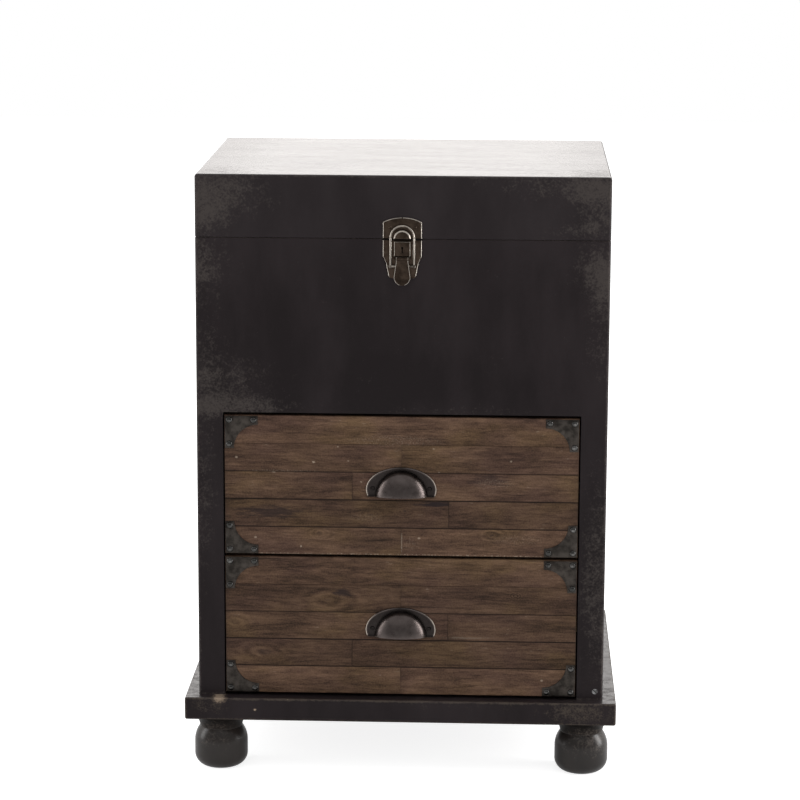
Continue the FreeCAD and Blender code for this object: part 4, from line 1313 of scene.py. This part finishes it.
@dataclass
class Drawer(Assembly):
    """One drawer: facing strips, corner plates, rivets, cup pull, and its plain box."""

    finishes: dict[str, bpy.types.Material]
    name: str
    joints: tuple[float | None, ...]
    tones: tuple[float, ...]
    seed: int
    low: Vector = field(init=False)
    high: Vector = field(init=False)
    strip_depth: float = 0.008
    strip_ease: float = 0.0005
    strip_step: float = 0.014
    least_cuts: int = 4
    tone_spread: tuple[float, float] = (0.95, 1.05)
    unevenness: tuple[float, float] = (-0.00012, 0.00018)
    dirt_width: float = 0.0009
    seams: tuple[float, ...] = (0.40, 0.80, 0.95, 0.92)
    butt_seam: float = 0.45
    outer_seam: float = 0.3
    plate_leg: float = 0.037
    plate_leg_width: float = 0.010
    plate_thickness: float = 0.001
    plate_arris: float = 0.0004
    plate_inset: float = 0.0004
    rivet_inset: float = 0.0048
    rivet_spacing: float = 0.0274
    rivet_radius: float = 0.0036
    rivet_height: float = 0.0022
    flange_width: float = 0.079
    flange_height: float = 0.034
    flange_middle: float = 0.0085
    flange_thickness: float = 0.0023
    flange_rim: float = 0.0019
    flange_sink: float = 0.0009
    flange_dirt: float = -0.64
    rim_arris: float = 0.0004
    rim_share: float = 0.8
    rim_edge: float = 0.0006
    rim_rub_and_highlight: float = 3.4
    rim_rub_and_highlight_start: float = 0.6
    hood_width: float = 0.059
    hood_reach: float = 0.020
    hood_wall: float = 0.0015
    hood_knuckle: float = 0.013
    lip_rise: float = 0.0022
    lip_radius: float = 0.0008
    lip_rub_and_highlight: float = 1.7
    lip_rub_and_highlight_start: float = 0.9
    screw_spacing: float = 0.064
    screw_rise: float = 0.0095
    screw_radius: float = 0.0026
    screw_height: float = 0.0012
    slot_turn: float = 30.0

    def __post_init__(self) -> None:
        """Take the front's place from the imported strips."""
        self.low, self.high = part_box(self.name + "_drawer_planks")

    @property
    def front(self) -> float:
        """Where the faces of the strips lie."""
        return self.low.y

    @property
    def body(self) -> str:
        """Body that the drawer's pieces ride on."""
        return self.name + "_drawer"

    def build(self) -> None:
        """Make the facing and the hardware, and dress the box."""
        self.build_strips()
        self.build_plates()
        self.build_rivets()
        self.build_pull()
        self.build_screws()
        self.dress(self.finishes["front_board"], self.body + "_front")
        self.dress(self.finishes["box_sides"], self.body + "_side_left", self.body + "_side_right")
        self.dress(self.finishes["box_back"], self.body + "_back")
        self.dress(self.finishes["box_bottom"], self.body + "_bottom")

    def build_strips(self) -> None:
        """Facing strips with eased, slightly uneven edges."""
        draw = random.Random(self.seed)
        piece = Piece(self.name + "_facing_strips")
        rows = len(self.joints)
        height = (self.high.z - self.low.z) / rows
        for row, (joint, tone) in enumerate(zip(self.joints, self.tones)):
            top = self.high.z - row * height
            ends = [self.low.x, self.high.x] if joint is None else [self.low.x, joint, self.high.x]
            seams = (*self.seams, self.outer_seam)[row], (self.outer_seam, *self.seams)[row]
            for start, end in zip(ends, ends[1:]):
                piece.add(self.strip((start, end), (top - height, top), seams, tone, draw))
        replaced = [self.name + "_drawer_planks"]
        piece.finish(self.body, self.finishes["strips"], replaced, EASED_CREASE)

    def strip(
        self,
        across: tuple[float, float],
        upright: tuple[float, float],
        seams: tuple[float, float],
        tone: float,
        draw: random.Random,
    ) -> bmesh.types.BMesh:
        """One facing strip.

        Args:
            across: Left and right end.
            upright: Lower and upper edge.
            seams: How dirty the lower and the upper seam are.
            tone: How light its wood is.
            draw: Source of the unevenness.

        Returns:
            Its mesh, with the strip's own number and its dirty edges marked.
        """
        length = across[1] - across[0]
        height = upright[1] - upright[0]
        mesh = bmesh.new()
        bmesh.ops.create_cube(mesh, size=1.0)
        middle = (sum(across) / 2, self.front + self.strip_depth / 2, sum(upright) / 2)
        move(mesh, middle, scale=(length, self.strip_depth, height))
        long_edges = [e for e in mesh.edges if abs(e.verts[0].co.x - e.verts[1].co.x) > length / 2]
        cuts = max(self.least_cuts, int(length / self.strip_step))
        bmesh.ops.subdivide_edges(mesh, edges=long_edges, cuts=cuts, use_grid_fill=True)
        facing = [f for f in mesh.faces if f.normal.y < -FACING]
        rim_edges = [e for e in mesh.edges if sum(f in facing for f in e.link_faces) == 1]
        rim_edges = [e for e in rim_edges if abs(e.verts[0].co.z - e.verts[1].co.z) < height / 2]
        soften(mesh, rim_edges, self.strip_ease)
        facing = [f for f in mesh.faces if f.normal.y < -FLAT]
        bmesh.ops.inset_region(mesh, faces=facing, thickness=self.dirt_width, use_even_offset=True)
        inner = {v for f in mesh.faces if f in facing for v in f.verts}
        marks = edge_layer(mesh)
        numbers = mesh.verts.layers.float.new(STRIP)
        tones = mesh.verts.layers.float.new(TONE)
        number = draw.random()
        tone *= draw.uniform(*self.tone_spread)
        margin = self.strip_ease + self.dirt_width / 2
        for vert in mesh.verts:
            vert[numbers] = number
            vert[tones] = tone
            gaps = (
                (vert.co.z - upright[0], seams[0]),
                (upright[1] - vert.co.z, seams[1]),
                (min(vert.co.x - across[0], across[1] - vert.co.x), self.butt_seam),
            )
            vert[marks] = max((seam for gap, seam in gaps if gap < margin), default=PLAIN)
        for vert in mesh.verts:
            if vert in inner:
                vert.co.y += draw.uniform(*self.unevenness)
        return mesh

    def corners(self) -> list[tuple[float, float, int, int]]:
        """The four corners that the plates sit in.

        Returns:
            Place across and upwards of each, and the signs that point to the front's middle.
        """
        found = []
        for sign_x in (1, -1):
            for sign_z in (1, -1):
                x = (self.low.x if sign_x > 0 else self.high.x) + sign_x * self.plate_inset
                z = (self.low.z if sign_z > 0 else self.high.z) + sign_z * self.plate_inset
                found.append((x, z, sign_x, sign_z))
        return found

    def build_plates(self) -> None:
        """Corner plates with a hollow inner edge and softened arrises."""
        piece = Piece(self.name + "_corner_plate_set")
        for x, z, sign_x, sign_z in self.corners():
            mesh = bmesh.new()
            start = mesh.verts.new((self.plate_leg, 0.0, self.plate_leg_width))
            pivot = (self.plate_leg, 0.0, self.plate_leg)
            end = sweep(mesh, [start], pivot, (0.0, 1.0, 0.0), math.pi / 2, BEND_STEPS)[0]
            corner = [(0.0, 0.0, self.plate_leg), (0.0, 0.0, 0.0), (self.plate_leg, 0.0, 0.0)]
            chain = [end] + [mesh.verts.new(spot) for spot in corner] + [start]
            for first, second in zip(chain, chain[1:]):
                mesh.edges.new((first, second))
            bmesh.ops.contextual_create(mesh, geom=mesh.edges[:])
            draw_out(mesh, mesh.faces[:], (0.0, -self.plate_thickness, 0.0))
            outer = [e for e in mesh.edges if all(v.co.y < -self.plate_thickness / 2 for v in e.verts)]
            soften(mesh, outer, self.plate_arris)
            move(mesh, (x, self.front, z), scale=(sign_x, 1.0, sign_z))
            bmesh.ops.recalc_face_normals(mesh, faces=mesh.faces)
            piece.add(mesh)
        piece.finish(self.body, self.finishes["iron"], [self.name + "_corner_plates"])

    def build_rivets(self) -> None:
        """Domed rivet heads, three on each corner plate."""
        piece = Piece(self.name + "_dome_rivets")
        near = self.rivet_inset
        far = near + self.rivet_spacing
        face = self.front - self.plate_thickness
        for x, z, sign_x, sign_z in self.corners():
            for across, up in ((near, near), (far, near), (near, far)):
                spot = (x + sign_x * across, face, z + sign_z * up)
                piece.add(dome(self.rivet_radius, self.rivet_height, spot))
        piece.finish(self.body, self.finishes["rivets"], [self.name + "_corner_rivets"])

    def pull_edge(self) -> float:
        """Height of the pull's lower edge."""
        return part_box(self.name + "_cup_pull")[0].z

    def build_pull(self) -> None:
        """Cup pull: rimmed back plate, domed hood and a rolled lip."""
        piece = Piece(self.name + "_hooded_pull")
        for mesh in (self.flange(), self.hood(), self.lip()):
            move(mesh, (0.0, self.front, self.pull_edge()))
            piece.add(mesh)
        piece.finish(self.body, self.finishes["pull"], [self.name + "_cup_pull"])

    def flange(self) -> bmesh.types.BMesh:
        """Oval back plate with a raised rim, cut straight below.

        Returns:
            Its mesh.
        """
        mesh = bmesh.new()
        bmesh.ops.create_circle(mesh, cap_ends=True, segments=LARGE_ROUND, radius=1.0)
        oval = (self.flange_width / 2, self.flange_height - self.flange_middle, 1.0)
        move(mesh, (0.0, 0.0, self.flange_middle), FRONTWARD, oval)
        cut(mesh, (0.0, 0.0, 0.0), (0.0, 0.0, 1.0))
        draw_out(mesh, mesh.faces[:], (0.0, -self.flange_thickness, 0.0))
        bmesh.ops.recalc_face_normals(mesh, faces=mesh.faces)
        facing = [f for f in mesh.faces if f.normal.y < -FACING]
        bmesh.ops.inset_region(mesh, faces=facing, thickness=self.flange_rim)
        inner = {v for f in facing for v in f.verts}
        bmesh.ops.translate(mesh, vec=(0.0, self.flange_sink, 0.0), verts=list(inner))
        marks = edge_layer(mesh)
        rim_height = -self.flange_thickness * self.rim_share
        arris = [e for e in mesh.edges if all(v.co.y < rim_height for v in e.verts)]
        soften(mesh, arris, self.rim_arris)
        # The oval rim is marked bright towards its ends, as rubbed metal and painted highlight; the
        # rest of the plate is darkened.
        for vert in mesh.verts:
            on_oval = vert.co.z > self.flange_rim and self.on_rim(vert.co)
            ends = min(1.0, abs(vert.co.x) / self.flange_width * self.rim_rub_and_highlight - self.rim_rub_and_highlight_start)
            vert[marks] = ends if on_oval else self.flange_dirt
        return mesh

    def on_rim(self, spot: Vector) -> bool:
        """Whether a point of the back plate lies on the outer edge of its oval rim.

        Args:
            spot: The point, from the middle of the plate's lower edge.

        Returns:
            True on the outer edge.
        """
        across = spot.x / (self.flange_width / 2 - self.rim_edge)
        up = (spot.z - self.flange_middle) / (self.flange_height - self.flange_middle - self.rim_edge)
        return across**2 + up**2 > 1.0

    def crown_radius(self) -> float:
        """Radius of the hood's flatter crown.

        Returns:
            The radius at which the crown runs on smoothly from the knuckle.
        """
        inner = self.hood_width / 2 - self.hood_knuckle
        rise = self.hood_reach - self.hood_knuckle
        return (inner**2 + self.hood_reach**2 - self.hood_knuckle**2) / (2 * rise)

    def crown_turn(self) -> float:
        """Angle of the crown from its middle to the knuckle."""
        inner = self.hood_width / 2 - self.hood_knuckle
        return math.asin(inner / (self.crown_radius() - self.hood_knuckle))

    def hood(self) -> bmesh.types.BMesh:
        """Pressed hood: upright sides, a knuckle and a flatter crown, open below and behind.

        Returns:
            Its mesh.
        """
        half = self.hood_width / 2
        mesh = bmesh.new()
        side = mesh.verts.new((0.0, 0.0, -half))
        leftward = (-1.0, 0.0, 0.0)
        pivot = (0.0, 0.0, self.hood_knuckle - half)
        turn = self.crown_turn()
        bend = sweep(mesh, [side], pivot, leftward, math.pi / 2 - turn, BEND_STEPS)
        pivot = (0.0, self.crown_radius() - self.hood_reach, 0.0)
        sweep(mesh, bend, pivot, leftward, turn, LONG_BEND_STEPS)
        sweep(mesh, mesh.edges[:], (0.0, 0.0, 0.0), (0.0, 1.0, 0.0), 2 * math.pi, LARGE_ROUND)
        bmesh.ops.remove_doubles(mesh, verts=mesh.verts, dist=WELD)
        cut(mesh, (0.0, 0.0, 0.0), self.lip_normal())
        bmesh.ops.recalc_face_normals(mesh, faces=mesh.faces)
        bmesh.ops.solidify(mesh, geom=mesh.faces[:], thickness=self.hood_wall)
        edge_layer(mesh)
        return mesh

    def lip_normal(self) -> Vector:
        """Upward normal of the plane that the hood's lip lies in, which rises to the front."""
        return Vector((0.0, self.lip_rise, self.hood_reach)).normalized()

    def lip(self) -> bmesh.types.BMesh:
        """Rolled lip along the hood's lower edge, bright towards its ends as rubbed metal and painted
        highlight.

        Returns:
            Its mesh.
        """
        half = self.hood_width / 2
        turn = self.crown_turn()
        bends = (
            ((half - self.hood_knuckle, 0.0, 0.0), math.pi / 2 - turn),
            ((0.0, self.crown_radius() - self.hood_reach, 0.0), 2 * turn),
            ((self.hood_knuckle - half, 0.0, 0.0), math.pi / 2 - turn),
        )
        mesh = bmesh.new()
        bmesh.ops.create_circle(mesh, segments=LIP_SIDES, radius=self.lip_radius)
        move(mesh, (half - self.lip_radius, 0.0, 0.0), FRONTWARD)
        ring = mesh.edges[:]
        for centre, angle in bends:
            ring = sweep(mesh, ring, centre, (0.0, 0.0, -1.0), angle, LONG_BEND_STEPS)
        tilt = Vector((0.0, 0.0, 1.0)).rotation_difference(self.lip_normal()).to_matrix()
        move(mesh, (0.0, 0.0, self.lip_radius), tilt)
        bmesh.ops.recalc_face_normals(mesh, faces=mesh.faces)
        marks = edge_layer(mesh)
        # Painted highlight, partly rubbed metal: brighter towards both ends.
        for vert in mesh.verts:
            vert[marks] = self.lip_rub_and_highlight * abs(vert.co.x) / half - self.lip_rub_and_highlight_start
        return mesh

    def build_screws(self) -> None:
        """Slotted screw heads in the back plate."""
        piece = Piece(self.name + "_slotted_screws")
        for side in Side:
            spot = (
                side.value * self.screw_spacing / 2,
                self.front - self.flange_thickness + self.flange_sink,
                self.pull_edge() + self.screw_rise,
            )
            turn = side.value * self.slot_turn
            piece.add(slotted_head(self.screw_radius, self.screw_height, spot, turn))
        piece.finish(self.body, self.finishes["pull"], [self.name + "_pull_screws"])


def dome(radius: float, height: float, spot: Point) -> bmesh.types.BMesh:
    """A low dome that stands out to the front.

    Args:
        radius: Radius at its foot.
        height: How far it stands out.
        spot: Middle of its foot.

    Returns:
        Its mesh.
    """
    mesh = bmesh.new()
    bmesh.ops.create_uvsphere(mesh, u_segments=DOME_SIDES, v_segments=DOME_ROWS, radius=1.0)
    cut(mesh, (0.0, 0.0, 0.0), (0.0, 0.0, 1.0))
    rim = [e for e in mesh.edges if e.is_boundary]
    bmesh.ops.contextual_create(mesh, geom=rim)
    move(mesh, spot, FRONTWARD, (radius, radius, height))
    bmesh.ops.recalc_face_normals(mesh, faces=mesh.faces)
    # The crown is marked bright, as rubbed iron and a painted glint.
    marks = edge_layer(mesh)
    for vert in mesh.verts:
        vert[marks] = min(1.0, max(0.0, (spot[1] - vert.co.y) / height - RIVET_FOOT))
    return mesh


def slotted_head(radius: float, height: float, spot: Point, turn: float) -> bmesh.types.BMesh:
    """A slotted screw head that faces the front.

    Args:
        radius: Radius of the head.
        height: How far it stands out.
        spot: Middle of its bearing face.
        turn: Angle of the slot in degrees.

    Returns:
        Its mesh.
    """
    mesh = bmesh.new()
    bmesh.ops.create_cone(
        mesh,
        cap_ends=True,
        segments=SCREW_SIDES,
        radius1=radius,
        radius2=radius * CROWN_SHARE,
        depth=height,
    )
    move(mesh, (0.0, 0.0, height / 2))
    half_slot = radius * SLOT_SHARE / 2
    for side in Side:
        cut(mesh, (0.0, side.value * half_slot, 0.0), (0.0, 1.0, 0.0), False)
    crown = [f for f in mesh.faces if f.normal.z > FACING and abs(f.calc_center_median().y) < half_slot]
    draw_out(mesh, crown, (0.0, 0.0, -height * SLOT_DEPTH))
    bmesh.ops.delete(mesh, geom=crown, context="FACES_ONLY")
    move(mesh, spot, FRONTWARD @ Matrix.Rotation(math.radians(turn), 3, "Z"))
    bmesh.ops.recalc_face_normals(mesh, faces=mesh.faces)
    marks = edge_layer(mesh)
    for vert in mesh.verts:
        vert[marks] = SCREW_DIRT
    return mesh


@dataclass
class Latch(Assembly):
    """Toggle latch in antiqued brass, bright along its edges as rubbed brass and painted highlight."""

    bodies: tuple[tuple[str, str], ...] = (
        ("latch_plate", "case"),
        ("latch_lock_case", "case"),
        ("latch_strike", "lid"),
        ("latch_lever", "lever"),
        ("latch_bail", "bail"),
    )
    plain: tuple[str, ...] = ("latch_lever_pin", "latch_plate_screws", "latch_strike_screws")
    arris: float = 0.0005
    narrow: float = 0.0007
    keyhole_half: float = 0.0025
    keyhole_lip: float = 0.0001
    bar_start: float = 0.0088
    bail_rub: float = 0.52
    arris_rub_and_highlight: float = 0.95
    ledge_rub_and_highlight: float = 0.8
    flank_rub_and_highlight: float = 0.45
    bar_rub: float = 0.62
    lock_rub_and_highlight: float = 0.9

    def build(self) -> None:
        """Make copies of the larger pieces, marked bright as rubbed brass and painted highlight, and
        dress the small ones.
        """
        brass = AgedMetal(
            "antique_brass",
            dull=(0.026, 0.0184, 0.0138),
            clear=(0.063, 0.0452, 0.0338),
            bright=(0.60, 0.540, 0.475),
            roughness=0.36,
            rub_and_highlight_edges=1.0,
            grit=0.3,
        ).material()
        for name, body in self.bodies:
            # Pieces named _rubbed carry marks that paint rubbed brass and painted highlights.
            piece = Piece(name + "_rubbed")
            self.copy_node(name, piece.mesh)
            wire = name == "latch_bail"
            if name == "latch_lever":
                self.ease(piece.mesh)
            self.mark(piece.mesh, self.bail_rub if wire else PLAIN)
            if name == "latch_lever":
                self.rub_bar(piece.mesh)
            if name == "latch_lock_case":
                self.rub_and_highlight_lock(piece.mesh)
                self.darken_keyhole(piece.mesh, *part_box(name))
            piece.finish(body, brass, [name], CREASE if wire else FLAT_CREASE)
        self.dress(brass, *self.plain)

    def rub_bar(self, mesh: bmesh.types.BMesh) -> None:
        """Mark the ends of the lever's bar, which the bail turns on, as rubbed.

        Args:
            mesh: The lever.
        """
        marks = mesh.faces.layers.float.get(EDGE)
        for face in mesh.faces:
            if abs(face.calc_center_median().x) > self.bar_start:
                face[marks] = self.bar_rub

    def rub_and_highlight_lock(self, mesh: bmesh.types.BMesh) -> None:
        """Mark the lock case's slanted upper edge bright, as rubbed brass and painted highlight.

        Args:
            mesh: The lock case.
        """
        marks = mesh.faces.layers.float.get(EDGE)
        for face in mesh.faces:
            if face.normal.z > 0.3 and face.normal.y < -0.3:
                face[marks] = self.lock_rub_and_highlight

    def ease(self, mesh: bmesh.types.BMesh) -> None:
        """Round the arrises between a piece's front and its sides.

        Args:
            mesh: The piece.
        """
        arrises = []
        for edge in mesh.edges:
            slants = sorted(face.normal.y for face in edge.link_faces)
            if len(slants) == 2 and slants[0] < -0.5 and abs(slants[1]) < 0.3:
                arrises.append(edge)
        soften(mesh, arrises, self.arris)

    def mark(self, mesh: bmesh.types.BMesh, least: float) -> None:
        """Mark how bright each face is painted, as rubbed brass and painted highlight: most on narrow
        faces that turn to a side, and on the flanks.

        Args:
            mesh: The piece.
            least: Rubbing that all of it has.
        """
        marks = mesh.faces.layers.float.new(EDGE)
        for face in mesh.faces:
            normal = face.normal
            narrow = 2 * face.calc_area() / face.calc_perimeter() < self.narrow
            slanted = abs(normal.y) < 0.985 and normal.z > -0.15
            flank = abs(normal.y) < 0.12 and abs(normal.x) > 0.5
            rolled = normal.y < -0.3 and abs(normal.x) < 0.01
            rub = PLAIN
            if narrow and slanted and not rolled:
                rub = self.arris_rub_and_highlight if abs(normal.x) > 0.2 else self.ledge_rub_and_highlight
            elif flank:
                rub = self.flank_rub_and_highlight
            face[marks] = max(rub, least)

    def darken_keyhole(self, mesh: bmesh.types.BMesh, low: Vector, high: Vector) -> None:
        """Mark the keyhole's walls and floor dark, as painted shade.

        Args:
            mesh: The lock case.
            low: Lower corner of its box.
            high: Upper corner of its box.
        """
        marks = mesh.faces.layers.float.get(EDGE)
        margin = self.keyhole_half
        for face in mesh.faces:
            spot = face.calc_center_median()
            inside = abs(spot.x) < margin and low.z + margin < spot.z < high.z - margin
            if inside and low.y + self.keyhole_lip < spot.y and face.normal.y < 0.5:
                face[marks] = PAINTED_SHADE


@dataclass
class Hinges(Assembly):
    """Stop hinges at the back in plain steel."""

    prefix: str = "hinge_"
    dull: Colour = (0.10, 0.098, 0.095)
    clear: Colour = (0.22, 0.215, 0.21)
    roughness: float = 0.4

    def build(self) -> None:
        """Dress the hinges and their screws."""
        steel = AgedMetal("hinge_steel", self.dull, self.clear, roughness=self.roughness)
        self.dress(steel.material(), *self.named(self.prefix))


# Marks on the drawer fronts: knots, dark stains, chips and scuffed patches
KNOTS = (
    Spot(-0.082, 0.203, 0.046, 0.019, 1.0),
    Spot(-0.154, 0.141, 0.042, 0.017, 0.55),
    Spot(-0.188, 0.176, 0.026, 0.014, 0.35),
    Spot(-0.092, 0.281, 0.016, 0.010, 0.5),
    Spot(0.004, 0.308, 0.012, 0.007, 0.9),
    Spot(-0.035, 0.303, 0.022, 0.010, 0.6),
    Spot(0.102, 0.281, 0.022, 0.011, 0.7),
    Spot(0.055, 0.395, 0.008, 0.005, 0.9),
    Spot(0.130, 0.211, 0.008, 0.005, 0.8),
)
STAINS = (
    Spot(0.036, 0.3165, 0.026, 0.0045, 0.95),
    Spot(-0.145, 0.305, 0.045, 0.009, 0.6),
    Spot(0.100, 0.344, 0.030, 0.009, 0.45),
    Spot(-0.066, 0.212, 0.014, 0.006, 0.7),
)
CHIPS = (
    Spot(-0.0983, 0.3630, 0.0022, 0.0014, 0.9),
    Spot(0.0362, 0.3799, 0.0016, 0.0012, 0.8),
    Spot(-0.0711, 0.3806, 0.0013, 0.0013, 0.7),
    Spot(-0.0599, 0.3647, 0.0020, 0.0010, 0.7),
    Spot(-0.1433, 0.3511, 0.0028, 0.0009, 0.7),
    Spot(-0.0452, 0.3409, 0.0013, 0.0013, 0.7),
    Spot(0.1227, 0.3662, 0.0015, 0.0012, 0.6),
    Spot(-0.1129, 0.2657, 0.0011, 0.0020, 0.8),
    Spot(0.0006, 0.2725, 0.0009, 0.0130, 0.7),
    Spot(0.0810, 0.1610, 0.0300, 0.0016, 0.25),
)
SCUFFS = (
    Spot(-0.008, 0.3885, 0.070, 0.0090, 0.24),
    Spot(-0.135, 0.3525, 0.060, 0.0018, 0.40),
    Spot(0.000, 0.2571, 0.400, 0.0012, 0.75),
    Spot(0.010, 0.2700, 0.014, 0.0120, 0.20),
    Spot(-0.040, 0.2995, 0.030, 0.0060, 0.16),
    Spot(0.105, 0.3400, 0.030, 0.0080, 0.22),
    Spot(0.130, 0.2760, 0.040, 0.0080, 0.20),
)

# Each drawer's name, the butt joints and tones of its rows from the top, and the seed of its draws
DRAWERS = (
    ("upper", (None, 0.0, -0.055, 0.0535, 0.0), (1.0, 0.93, 0.92, 0.80, 1.03), 11),
    ("lower", (None, 0.0, 0.0535, -0.055, 0.0), (0.95, 0.80, 0.83, 0.80, 1.06), 29),
)


def drawer_finishes() -> dict[str, bpy.types.Material]:
    """Materials that both drawers share.

    Returns:
        The materials by name.
    """
    return {
        "strips": DarkPine("dark_pine_strips", KNOTS, STAINS, CHIPS, SCUFFS).material(),
        "iron": AgedMetal(
            "blackened_iron", (0.0250, 0.0218, 0.0193), (0.074, 0.0640, 0.0565), roughness=0.5
        ).material(),
        "rivets": AgedMetal(
            "rivet_iron",
            dull=(0.044, 0.043, 0.041),
            clear=(0.090, 0.087, 0.084),
            bright=(0.42, 0.41, 0.40),
            roughness=0.22,
            rub_and_highlight_edges=0.6,
        ).material(),
        "pull": AgedMetal(
            "pull_bronze",
            dull=(0.076, 0.062, 0.058),
            clear=(0.102, 0.085, 0.080),
            bright=(0.58, 0.51, 0.44),
            roughness=0.29,
            rub_and_highlight_edges=0.9,
            grit=0.12,
        ).material(),
        "front_board": BareBoard(
            "front_board_stain", Grain.ACROSS, (0.030, 0.018, 0.012), (0.075, 0.047, 0.031)
        ).material(),
        "box_sides": BareBoard("drawer_side_pine", Grain.DEPTH).material(),
        "box_back": BareBoard("drawer_back_pine", Grain.ACROSS).material(),
        "box_bottom": BareBoard(
            "drawer_bottom_ply", Grain.ACROSS, (0.300, 0.200, 0.115), (0.470, 0.345, 0.220)
        ).material(),
    }


def main() -> None:
    """Build and dress the whole dresser."""
    logging.basicConfig(level=logging.INFO, format="%(name)s: %(message)s")
    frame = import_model()
    Studio().build()
    Case(frame).build()
    Lid(frame).build()
    finishes = drawer_finishes()
    for name, joints, tones, seed in DRAWERS:
        Drawer(frame, finishes, name, joints, tones, seed).build()
    Latch(frame).build()
    Hinges(frame).build()


if __name__ == "__main__":
    main()
